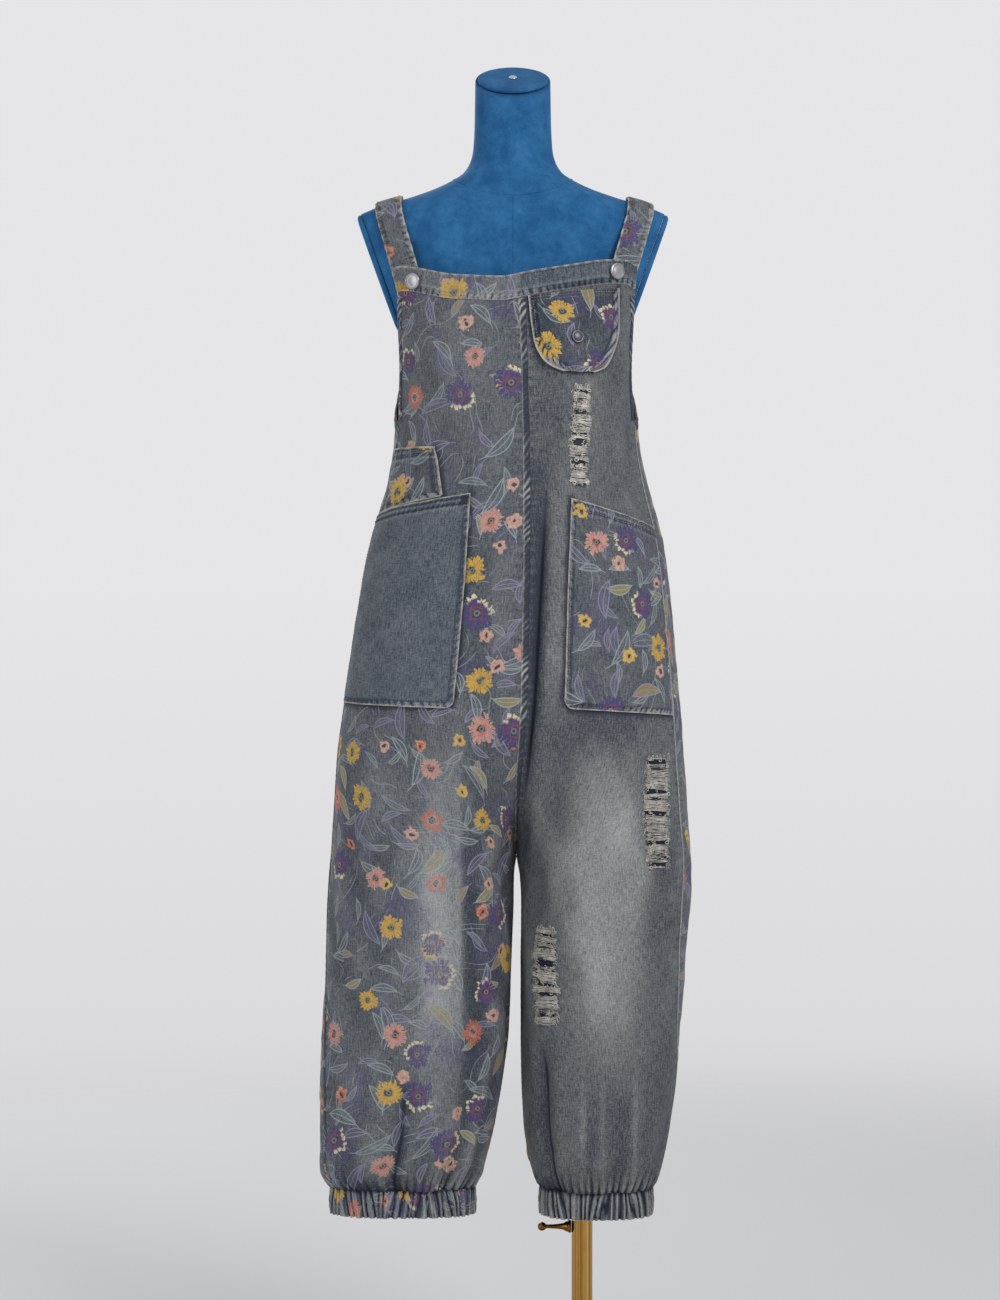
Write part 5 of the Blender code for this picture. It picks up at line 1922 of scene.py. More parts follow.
@dataclass
class Flap(Patch):
    """The phone pocket's flap on the bib, which stands away from it towards its foot."""

    stand: float = 0.0046
    rise: float = 0.013  # its top edge climbs to the left with the bib's
    top: float = 1.326  # the height of its top edge, and how deep and wide it is
    deep: float = 0.088
    wide: float = 0.10
    outline: Table = Table(
        ("z", "near", "far"),
        (
            (1326, 17, 123), (1305, 19, 123), (1285, 21.6, 121.4), (1267, 24.8, 118.2),
            (1254.5, 31.5, 113.6), (1244, 43, 105.5), (1238, 57, 93),
        ),
    )  # fmt: skip

    def across_at(self, down: Array) -> tuple[Array, Array, Array]:
        """The heights at shares of the way down, and X of its two sides there."""
        level = self.top - down * self.deep
        return level, self.outline.read("near", level), self.outline.read("far", level)

    def places(self, cloth: Cloth, down: Array, across: Array) -> tuple[Array, Array]:
        """Heights and shares on the bib.

        Args:
            cloth: The worn cloth's surface.
            down: Shares of the way down it.
            across: Shares of the way across it.

        Returns:
            Heights and shares on the panel.
        """
        level, near, far = self.across_at(down)
        z = level + across * self.rise * (1 - down)
        return z, cloth.share_at(self.side, Face.FRONT, z, near + across * (far - near))

    def edges(self, down: Array, across: Array) -> tuple[Array, Array, Array, Array]:
        """Distances from the top, the curved foot, and the two sides, which the foot takes in.

        Args:
            down: Shares of the way down it.
            across: Shares of the way across it.

        Returns:
            The four distances, in metres.
        """
        _, near, far = self.across_at(down)
        sides = np.minimum(across, 1 - across) * (far - near)
        ramp = 0.45 + 0.55 * (1 - ease((down - 0.45) / 0.5))
        rim = np.minimum(sides * ramp, (1 - down) * self.deep + 0.25 * sides)
        return down * self.deep, rim, sides, sides

    def pucker(self, down: Array, across: Array, rim: Array) -> Array:
        """The gathers beside the row of stitches inside its rim."""
        return pucker_row(rim, across * self.wide + down * 0.06, 2.2, 0.0048)

    def proud(self, down: Array, across: Array) -> Array:
        """Its seat, its stand, a rolled and puckered edge and a little sag.

        Args:
            down: Shares of the way down it.
            across: Shares of the way across it.

        Returns:
            Distances, in metres.
        """
        top, rim, _, _ = self.edges(down, across)
        out = 0.0013 + self.thick + self.stand * ease(down) * (0.75 + 0.25 * np.cos(across * 3.1))
        out = out + 0.0009 * ripple(across * self.wide, top, 77, 0.07, 1.4) * ease(down * 2)
        return out - 0.0007 * bell(rim, 0.0013) + 0.0011 * self.pucker(down, across, rim)

    def free_edges(self, cloth: Cloth) -> Array:
        """Points round its foot and both sides.

        Args:
            cloth: The worn cloth's surface.

        Returns:
            The points.
        """
        run = np.linspace(0, 1, 60)
        side = self.line(cloth, run, 0 * run)[0]
        return np.concatenate([super().free_edges(cloth), side])

    def looks(self, down: Array, across: Array) -> tuple[Array, Array]:
        """A darker navy ground, darkest at its top in the band's painted shadow, with a pale rim.

        Args:
            down: Shares of the way down it.
            across: Shares of the way across it.

        Returns:
            How faded it is, and how rubbed to bare cotton.
        """
        top, rim, _, _ = self.edges(down, across)
        # Darker towards the top: painted shadow of the bib's band above.
        fade = -0.12 - 0.34 * (1 - down) + 5.0 * self.pucker(down, across, rim)
        fade = fade + 0.10 * ripple(across * self.wide, top, 78, 0.05, 1.4)
        fade = fade - 0.8 * bell(rim - 0.0082, 0.0012)
        return fade, 1.25 * bell(rim, 0.0017) + 0.3 * bell(top, RUBBED)

    def sew(self, cloth: Cloth, threads: dict[Thread, Bundle]) -> None:
        """Sews one row inside its curved edge and two across its top.

        Args:
            cloth: The worn cloth's surface.
            threads: The bundle of stitches in each thread.
        """
        bundle = threads[self.thread]
        turn = np.linspace(-1, 1, 600)
        inset = 0.05
        across = 0.5 + (0.5 - inset) * np.sign(turn) * np.minimum(np.abs(turn) * 1.8, 1)
        down = 1 - inset - np.maximum(np.abs(turn) - 1 / 1.8, 0) * 2.0
        bundle.stitches(*self.line(cloth, np.clip(down, 0.05, 1), across))
        wide = np.linspace(0.02, 0.98, 400)
        for drop in (0.035, 0.075):
            bundle.stitches(*self.line(cloth, np.full(400, drop), wide))


@dataclass
class Cuff:
    """An elasticated ankle cuff: doubled cloth, gathered in uneven pleats."""

    side: Side
    finish: Denim
    x: float  # its middle from the form's, in millimetres, as all here
    half_width: float
    front: float
    back: float
    pleat: float = 5.0
    wall: float = 1.8
    around: int = 420
    rows: int = 22
    shift: tuple[float, float] = (0.7, 0.2)

    def waves(self, gone: Array, total: float, down: Array) -> tuple[Array, Array, Array]:
        """The pleats, which close on themselves round the ring, 0 to 1.

        Args:
            gone: Distances round the ring.
            total: How long it is.
            down: Shares of the way down.

        Returns:
            The pleats, the finer ones between them, and how tall each pleat is.
        """
        g = gone * round(total / GATHER_PITCH) * GATHER_PITCH / total
        turn = gone / total * 2 * math.pi
        bent = g + 0.0022 * np.sin(9 * turn) + 0.0017 * np.sin(23 * turn + 1.0)
        tall = 0.84 + 0.16 * np.sin(7 * turn + 2.0) * np.sin(3 * turn)
        slide = 0.0060 * np.sin(4 * turn + 1.5) * (down - 0.4) + 0.0020 * np.sin(13 * turn) * down
        waves = np.abs(np.sin(math.pi * (bent + slide) / GATHER_PITCH))
        fine = 2 * g + 0.0014 * np.sin(17 * turn) + 2.5 * slide
        return waves, np.abs(np.sin(math.pi * fine / GATHER_PITCH)), tall

    def build(self) -> Made:
        """Makes the cuff.

        Returns:
            The piece and its skin.
        """
        # It closes on the inner side of the ankle.
        start = 0 if self.side is Side.RIGHT else math.pi
        angles = start + np.linspace(0, 2 * math.pi, self.around, endpoint=False)
        c, s = superellipse(angles, LEG_POWER)
        deep = np.where(s < 0, self.front, self.back)
        ring = np.stack([self.half_width * c, deep * s], axis=1) * MM
        gone = gone_along(np.append(ring, ring[:1], axis=0))
        down = np.linspace(0, 1, self.rows)[:, None]
        waves, fine, tall = self.waves(gone[:-1], gone[-1], down)
        pleats = tall * waves**0.6
        # Pleats are pressed flat by the elastic's two rows, and splay at the hem.
        splay = 0.80 + 0.35 * down**2 - 0.22 * bell(down - 0.33, 0.08)
        splay = splay - 0.22 * bell(down - 0.66, 0.08)
        out = (self.pleat * (pleats - 0.5) * splay + 1.3 * np.sin(math.pi * down)) * MM
        outward = np.stack([np.cos(angles), np.sin(angles)], axis=1)
        flat_ring = ring[None] + out[..., None] * outward[None]
        scallop = 0.0022 * (pleats[-1] - 0.5) * down**3
        z = CUFF_TOP_Z - down * (CUFF_TOP_Z - CUFF_HEM_Z) - scallop + 0 * angles
        points = np.concatenate([flat_ring, z[..., None]], axis=-1)
        points[..., 0] += FORM_X + self.x * MM
        # Painted highlights on the pleats' crests, painted shade in their grooves, and painted
        # shade along its top under the leg.
        fade = -2.4 * (1 - waves) ** 3.2 + 1.25 * tall * waves**10 + 1.0 * (fine**3 - 0.42)
        fade = fade - 1.2 * bell(down, 0.08)
        worn = 0.7 * bell(1 - down, 0.05) * pleats + 0 * fade
        steps = np.linalg.norm(np.diff(points, axis=1, append=points[:, :1]), axis=2).max(axis=0)
        flat = np.stack([np.cumsum(steps) + 0 * z, z], axis=-1) + np.array(self.shift)
        name = "cuff_" + SIDE_NAMES[self.side]
        skin = Skin(points, flat, fade, worn, ring=True)
        return skin.wall(name + "_cloth", self.wall * MM, self.finish, (name,)), skin


@dataclass
class Strap:
    """A shoulder strap, held tight from the inside of the bib to the inside of the back."""

    side: Side
    finish: Denim
    x_bib: float  # millimetres from the form's middle at its ends and on the shoulder
    x_top: float
    x_back: float
    width: float = 0.032
    thick: float = 0.0028
    lift: float = 0.0030
    seat: float = 0.0036
    front_z: float = 1.338
    back_z: float = 1.290
    core_z: float = 1.400
    stations: int = 230
    lines: int = 31
    shift: tuple[float, float] = (1.1, 0.4)
    rows: list[tuple[Array, Array]] = field(default_factory=list)  # to sew, once it is built

    def taut_line(self, cloth: Cloth, form: "DressForm", offset: float) -> Array:
        """One line of the strap over the shoulder, as tight as it goes, front end first.

        Args:
            cloth: The worn cloth's surface.
            form: The form that it lies on.
            offset: How far the line is from the strap's middle.

        Returns:
            Points evenly along it.
        """
        over = []
        ends = ((Face.FRONT, self.x_bib, self.front_z), (Face.BACK, self.x_back, self.back_z))
        for face, end_x, end_z in ends:
            x = end_x * MM + offset
            share = cloth.share_at(self.side, face, np.array([end_z]), np.array([x]))
            surface = cloth.place(self.side, face, np.array([end_z]), share)[0, 1]
            inside = abs(surface) - DENIM_WALL - self.thick - self.seat
            over.append([[face * inside, end_z, x]])
            z = np.arange(end_z, 1.470, 0.0008)
            x = (end_x + ease((z - end_z) / (1.447 - end_z)) * (self.x_top - end_x)) * MM + offset
            depth = form.depth(face, x, z)
            z, x, depth = z[depth > 0], x[depth > 0], depth[depth > 0]
            out = unit(np.stack([depth, np.maximum(z - self.core_z, 0)], axis=1)) * self.lift
            over.append(np.stack([face * (depth + out[:, 0]), z + out[:, 1], x], axis=1))
        over = np.concatenate([np.asarray(part, float) for part in over])
        order = np.argsort(-np.arctan2(over[:, 1] - self.back_z + 0.05, over[:, 0]), kind="stable")
        hull: list[Array] = []
        for point in over[order]:
            # Held tight, the strap leaves the hollows of what it lies on.
            while len(hull) > 1:
                (ay, az), (by, bz) = hull[-1][:2] - hull[-2][:2], point[:2] - hull[-2][:2]
                if ay * bz - az * by < 0:
                    break
                hull.pop()
            hull.append(point)
        line = np.array(hull)[:, [2, 0, 1]] + (FORM_X, 0, 0)
        gone = gone_along(line)
        return read_line(line, gone, np.linspace(0, gone[-1], self.stations))

    def build(self, cloth: Cloth, form: "DressForm") -> Made:
        """Makes the strap, with puckers along its two stitched edges.

        Args:
            cloth: The worn cloth's surface.
            form: The form that it lies on.

        Returns:
            The piece and its skin.
        """
        half = self.width / 2
        across = np.linspace(-half, half, self.lines)
        under = np.stack([self.taut_line(cloth, form, offset) for offset in across], axis=1)
        for _ in range(6):
            under[1:-1] = (under[:-2] + 2 * under[1:-1] + under[2:]) / 4
        along = gone_along(under[:, self.lines // 2])[:, None]
        edge = half - np.abs(across)[None]
        sign = np.sign(across)[None]
        run = bell(edge - 0.0028, 0.0030) * (gathers(along + 0.003 * sign, 2 + sign) - 0.5)
        roll = -0.0008 * bell(edge, 0.0013)
        flat_skin = Skin(under, np.zeros(under.shape[:2] + (2,)))
        out, _ = flat_skin.directions()
        crown = 0.0004 * (1 - (across / half) ** 2)[None]
        points = under + out * (self.thick + crown + roll + 0.0016 * run)[..., None]
        side_way = unit(np.gradient(under, axis=1))
        wobble = 0.0002 * np.sin(along / 0.0021 + 2 * sign) * bell(edge, 0.003) * sign
        points = points + side_way * wobble[..., None]
        u, v = across[None] + 0 * along, along + 0 * edge
        fade = 0.12 + 2.6 * run + 0.12 * ripple(u, v, 21, 0.05)
        fade = fade - 0.4 * bell(edge - 0.0062, 0.0013)
        patchy = 0.65 + 0.35 * np.sin(along / 0.0026 + sign)
        worn = 1.25 * patchy * bell(edge, 0.0020) + 0 * along
        flat = np.stack([u, v], axis=-1) + np.array(self.shift)
        self.rows = [(points[:, j], out[:, j]) for j in (3, self.lines - 4)]
        name = "strap_" + SIDE_NAMES[self.side]
        skin = Skin(points, flat, fade, worn)
        return skin.wall(name + "_cloth", self.thick, self.finish, (name,)), skin

    def sew(self, bundle: Bundle) -> None:
        """Sews a row inside each long edge."""
        for line, outs in self.rows:
            bundle.stitches(line, outs)


@dataclass
class Seam:
    """A felled seam or hem, drawn up by its stitching into slanting, rope-like twists.

    It lies along a line on one panel, or along the line where two panels meet.
    """

    STEP = 0.0012  # from row to row of its points
    name: str
    sides: tuple[tuple[Side, Face], ...]  # one panel, or the two that meet
    z: tuple[float, float]  # its ends' heights, in millimetres
    share: float = 0.0
    half: float = 0.0036
    pitch: float = 0.0094
    proud: float = 0.0013
    contrast: float = 1.0
    slant: float = 0.5
    line: float = 0.0  # how pale its smooth edge is, and where that is across it
    line_at: float = -0.9
    finish: Denim = PRINTED
    shift: tuple[float, float] = (0.0, 0.0)

    def path(self) -> tuple[Array, Array]:
        """Heights and shares along its line."""
        z = np.arange(self.z[0] * MM, self.z[1] * MM, -self.STEP)
        return z, np.full(z.shape, self.share)

    def strip(self, cloth: Cloth, side: Side, face: Face, away: Array) -> tuple[Array, Array]:
        """Heights and shares at distances from the line on one panel.

        Args:
            cloth: The worn cloth's surface.
            side: The panel's side.
            face: The panel's face.
            away: The distances.

        Returns:
            Heights and shares on the panel.
        """
        z, share = self.path()
        length = cloth.length(side, face, z)
        flat = np.stack([share * length, z], axis=1)
        run = unit(np.gradient(flat, axis=0))
        across = np.stack([-run[:, 1], run[:, 0]], axis=1)
        if np.mean(across[:, 0]) * (0.5 - self.share) < 0:
            across = -across
        spread = flat[:, None] + across[:, None] * away[None, :, None]
        z = spread[..., 1]
        return z, np.clip(spread[..., 0] / cloth.length(side, face, z), 0, 1)

    def parts(self, cloth: Cloth) -> list[tuple[Side, Face, Array, Array, Array]]:
        """Divides it among the panels that it is on.

        Args:
            cloth: The worn cloth's surface.

        Returns:
            Each panel, and heights, shares and places across the seam on it.
        """
        two = len(self.sides) == 2
        away = np.linspace(0, self.half if two else 2 * self.half, 6 if two else 10)
        found = []
        for n, (side, face) in enumerate(self.sides):
            first = two and n == 0
            steps = away[:0:-1] if first else away
            z, share = self.strip(cloth, side, face, steps)
            signed = -steps if first else steps - (0 if two else self.half)
            found.append((side, face, z, share, signed + 0 * z))
        return found

    def twists(self, along: Array, signed: Array) -> Array:
        """Its rope-like twists, 0 to 1, at distances along it and places across it.

        Args:
            along: Distances along it.
            signed: Places across it, -1 to 1.

        Returns:
            The twists' height.
        """
        bent = along / self.pitch + self.slant * signed + 0.40 * np.sin(along / 0.023 + self.share)
        bent = bent + 0.17 * np.sin(along / 0.0061)
        strength = 0.70 + 0.17 * np.sin(along / 0.034 + 1.0) + 0.13 * np.sin(along / 0.0083)
        return strength * np.abs(np.sin(math.pi * bent)) ** 0.75

    def build(self, cloth: Cloth) -> Made:
        """Makes the seam's strip.

        Args:
            cloth: The worn cloth's surface.

        Returns:
            The piece and its skin.
        """
        parts = self.parts(cloth)
        signed = np.concatenate([part[-1] for part in parts], axis=1) / self.half
        along = (np.arange(len(signed)) * self.STEP)[:, None]
        twist = self.twists(along, signed)
        crown = np.sqrt(np.clip(1.04 - signed**2, 0, 1))
        out = 0.00025 + self.proud * crown * (0.35 + 0.65 * twist)
        start, laid = 0, []
        for side, face, z, share, _ in parts:
            end = start + z.shape[1]
            laid.append(cloth.place(side, face, z, share, out[:, start:end]))
            start = end
        fade = self.contrast * (2.9 * (twist**4 - 0.30) - 0.4 * (1 - crown))
        fade = fade + self.line * bell(signed - self.line_at, 0.34)
        worn = np.clip(twist - 0.80, 0, 1) * 2.0 * crown * self.contrast
        flat = np.stack([signed * self.half + 0 * along, -along + 0 * signed], axis=-1)
        skin = Skin(np.concatenate(laid, axis=1), flat + np.array(self.shift), fade, worn)
        return skin.wall(self.name, 0.0009, self.finish), skin


@dataclass
class TopHem(Seam):
    """The hem along the top of one back panel, from the armhole to the centre seam."""

    def path(self) -> tuple[Array, Array]:
        """Heights and shares along its line."""
        share = np.linspace(0.432, 0.998, 110)
        return np.full(share.shape, BACK_TOP_Z - 0.0002), share

    def strip(self, cloth: Cloth, side: Side, face: Face, away: Array) -> tuple[Array, Array]:
        """Heights and shares below the top edge."""
        z, share = self.path()
        return z[:, None] - away[None], share[:, None] + 0 * away[None]


@dataclass
class ArmholeHem(Seam):
    """The curved hem of one back panel's armhole."""

    def path(self) -> tuple[Array, Array]:
        """Heights and shares along its line."""
        z = np.arange(BACK_TOP_Z, ARMHOLE_Z, -self.STEP)
        return z, ARMHOLE.read("share", z)


YARN_RUN = np.linspace(0, 1, 9)  # shares of the way along one yarn


@dataclass(frozen=True)
class Rip:
    """A worn-through patch on the plain front, where only the pale weft is left.

    Its edges' X, from the form's middle, and heights are in millimetres.
    """

    name: str
    x: tuple[float, float]
    z: tuple[float, float]
    seed: int
    dark: float  # how much painted shade darkens the panel inside it, for the hole
    yarn: Yarn
    pitch: float = 0.00125
    frayed: int = 200

    def rungs(self) -> list[tuple[float, float, float, float]]:
        """The bands of weft that still hold: low and high edges and how each end wanders.

        Returns:
            The bands, from the lowest up.
        """
        draw = np.random.default_rng(self.seed)
        found, low = [], self.z[0] + 1.0
        while low < self.z[1] - 5:
            high = min(low + draw.uniform(7, 19), self.z[1] - 1.0)
            found.append((low * MM, high * MM, draw.normal(0, 1.3) * MM, draw.normal(0, 1.3) * MM))
            low = high + draw.uniform(0.7, 2.0)
        return found

    def reach(self, z: Array) -> tuple[Array, Array]:
        """Its ragged left and right edges at the heights.

        Args:
            z: Heights.

        Returns:
            X of each edge.
        """
        up = (z / MM - self.z[0]) / (self.z[1] - self.z[0])
        middle, half = sum(self.x) / 2, (self.x[1] - self.x[0]) / 2
        half = half * (0.94 - 0.06 * np.cos(up * 2 * math.pi))
        lean = 1.5 * np.sin(up * 5 + self.seed)
        ragged = 0.8 * np.sin(z / 0.0031 + self.seed) + 0.6 * np.sin(z / 0.0013)
        return (middle + lean - half + ragged) * MM, (middle + lean + half - 0.7 * ragged) * MM

    def inside(self, x: Array, z: Array) -> Array:
        """Where the cloth is gone, 0 to 1.

        Args:
            x: X from the form's middle.
            z: Heights.

        Returns:
            0 where the cloth is whole, 1 where it is gone.
        """
        left, right = self.reach(np.clip(z, self.z[0] * MM, self.z[1] * MM))
        level = ease((z / MM - self.z[0]) / 3) * ease((self.z[1] - z / MM) / 3)
        return level * ease((x - left) / 0.0025) * ease((right - x) / 0.0025)

    def lay(self, cloth: Cloth, x: Array, z: Array, out: Array) -> tuple[Array, Array]:
        """Points above the plain front at X and heights, and the directions away from it.

        Args:
            cloth: The worn cloth's surface.
            x: X from the form's middle.
            z: Heights.
            out: How far outside the cloth.

        Returns:
            The points, and the directions.
        """
        share = cloth.share_at(Side.LEFT, Face.FRONT, z, x)
        ups = cloth.normal(Side.LEFT, Face.FRONT, z, share)
        return cloth.place(Side.LEFT, Face.FRONT, z, share) + out[..., None] * ups, ups

    def build(self, cloth: Cloth) -> list[bpy.types.Object]:
        """Makes the bared weft, the frayed ends along the edges, the warp yarns left and the slits'
        painted shade.

        Args:
            cloth: The worn cloth's surface.

        Returns:
            The pieces.
        """
        draw = np.random.default_rng(self.seed)
        weft, warp = Bundle(), Bundle()
        for rung in self.rungs():
            self.weave(cloth, draw, weft, rung)
        self.fray(cloth, draw, weft)
        self.curl(cloth, draw, weft)
        self.part(cloth, draw, warp)
        return [
            weft.make(self.name + "_weft", self.yarn),
            warp.make(self.name + "_warp_ends", CHARCOAL_THREAD),
        ]

    def weave(self, cloth: Cloth, draw: Draw, weft: Bundle, rung: tuple[float, ...]) -> None:
        """Lays the two plies of weft of one band, pinched and sunk at its edges.

        Args:
            cloth: The cloth it is in.
            draw: Where its chances come from.
            weft: The bundle to add to.
            rung: The band, as rungs gives it.
        """
        low, high, left_by, right_by = rung
        rows = np.arange(low, high, self.pitch)
        parted = np.sin(rows / 0.0047 + self.seed) + 0.7 * np.sin(rows / 0.0019) < -0.75
        rows = rows[~parted]
        left, right = self.reach(rows)
        up = (rows - low) / (high - low)
        pinch = 0.0012 * (2 * up - 1) ** 4
        tilt = draw.uniform(-0.0030, 0.0012)
        for ply in (0, 1):
            start = left + left_by + pinch - draw.uniform(0.0000, 0.0020, len(rows))
            end = right + right_by - pinch + draw.uniform(0.0000, 0.0020, len(rows))
            x = start[:, None] + (end - start)[:, None] * YARN_RUN
            sag = draw.normal(0, 0.00040, (len(rows), len(YARN_RUN))).cumsum(axis=1) * 0.5
            bow = 0.0013 * np.sin(math.pi * YARN_RUN) * draw.uniform(-1, 1)
            bow = bow + tilt * (YARN_RUN - 0.5)
            slope = draw.normal(0, 0.0008, (len(rows), 1)) * (YARN_RUN - 0.5)
            z = rows[:, None] + ply * self.pitch / 2 + sag + bow + slope
            crown = 0.0007 + 0.0021 * np.sin(math.pi * up)[:, None] ** 0.6
            out = crown * (0.45 + 0.55 * np.sin(math.pi * YARN_RUN))
            out = out + draw.uniform(0, 0.0006, x.shape)
            weft.threads(*self.lay(cloth, x, z, out - 0.0004 * ply), 0.00036, 4)

    def fray(self, cloth: Cloth, draw: Draw, weft: Bundle) -> None:
        """Adds the short ends of yarn that stand out along both edges.

        Args:
            cloth: The worn cloth's surface.
            draw: Where its chances come from.
            weft: The bundle to add to.
        """
        run, many = YARN_RUN[::2], self.frayed
        at = draw.uniform(self.z[0] + 1, self.z[1] - 1, many) * MM
        left, right = self.reach(at)
        sign = draw.choice((-1, 1), many)
        foot = np.where(sign < 0, left, right) - sign * draw.uniform(0, 0.002, many)
        length = draw.uniform(0.0015, 0.0050, many)[:, None]
        turn = draw.normal(0, 0.9, many)[:, None]
        x = foot[:, None] + sign[:, None] * length * run * np.cos(turn)
        z = at[:, None] + length * (run * np.sin(turn) + 0.35 * np.sin(run * 4 + turn))
        out = 0.0005 + 0.0016 * draw.uniform(0.2, 1, (many, 1)) * np.sin(run * 2.6)
        weft.threads(*self.lay(cloth, x, z, out), 0.00028, 3)

    def curl(self, cloth: Cloth, draw: Draw, weft: Bundle) -> None:
        """Adds broken yarns, curled into small loops; some stand up along its top.

        Args:
            cloth: The worn cloth's surface.
            draw: Where its chances come from.
            weft: The bundle to add to.
        """
        loops, tufts = round((self.z[1] - self.z[0]) * 0.9), 6
        at = draw.uniform(self.z[0], self.z[1], loops)
        at[:tufts] = self.z[1] - draw.uniform(-2, 1, tufts)
        left, right = self.reach(np.clip(at, self.z[0], self.z[1] - 2) * MM)
        middle = left + draw.beta(0.6, 0.6, loops) * (right - left)
        middle[:tufts] = left[:tufts] + np.linspace(0.05, 0.95, tufts) * (right - left)[:tufts]
        wide, tall = draw.uniform(0.0008, 0.0019, loops), draw.uniform(0.0009, 0.0021, loops)
        wide[:tufts], tall[:tufts] = 0.0011, draw.uniform(0.0026, 0.0040, tufts)
        start, sweep = draw.uniform(0, 6.3, loops), draw.uniform(3.4, 5.8, loops)
        start[:tufts], sweep[:tufts] = -0.9, 5.0
        turn = start[:, None] + sweep[:, None] * YARN_RUN
        x = middle[:, None] + wide[:, None] * np.cos(turn)
        z = at[:, None] * MM + tall[:, None] * np.sin(turn)
        out = 0.0022 + draw.uniform(0, 0.0016, (loops, 1)) * np.abs(np.sin(turn))
        weft.threads(*self.lay(cloth, x, z, out), 0.00042, 4)

    def part(self, cloth: Cloth, draw: Draw, warp: Bundle) -> None:
        """Adds dark yarns as painted shade where the weft has parted, and dark ends of warp between
        its yarns.

        Args:
            cloth: The worn cloth's surface.
            draw: Where its chances come from.
            warp: The bundle to add to.
        """
        slits = round((self.z[1] - self.z[0]) / 11)
        z0 = draw.uniform(self.z[0] + 4, self.z[1] - 4, slits) * MM
        left, right = self.reach(z0)
        x0 = left + draw.uniform(0.08, 0.35, slits) * (right - left)
        wide = draw.uniform(0.35, 0.62, slits) * (right - left)
        x = x0[:, None] + wide[:, None] * YARN_RUN
        tilt = draw.normal(0, 0.0012, slits)[:, None]
        z = z0[:, None] + tilt * YARN_RUN + 0.0006 * np.sin(YARN_RUN * 5)
        warp.threads(*self.lay(cloth, x, z, np.full(x.shape, 0.0024)), 0.00062, 4)
        dashes = round((self.z[1] - self.z[0]) * 0.3)
        z0 = draw.uniform(self.z[0] + 3, self.z[1] - 6, dashes) * MM
        left, right = self.reach(z0)
        x0 = left + draw.uniform(0.08, 0.92, dashes) * (right - left)
        z = z0[:, None] + draw.uniform(0.0012, 0.0042, dashes)[:, None] * YARN_RUN[::3]
        x = x0[:, None] + draw.normal(0, 0.0006, (dashes, 3)).cumsum(axis=1)
        warp.threads(*self.lay(cloth, x, z, np.full(x.shape, 0.0026)), 0.00036, 4)


RIPS = (
    Rip("rip_bib", (68.4, 86.6), (1104, 1219), 3, 1.0, BARED_WEFT),
    Rip("rip_thigh", (153.5, 181), (660.5, 790), 8, 1.7, SOILED_WEFT),
    Rip("rip_shin", (28, 50.5), (475, 588), 14, 1.4, SOILED_WEFT),
)


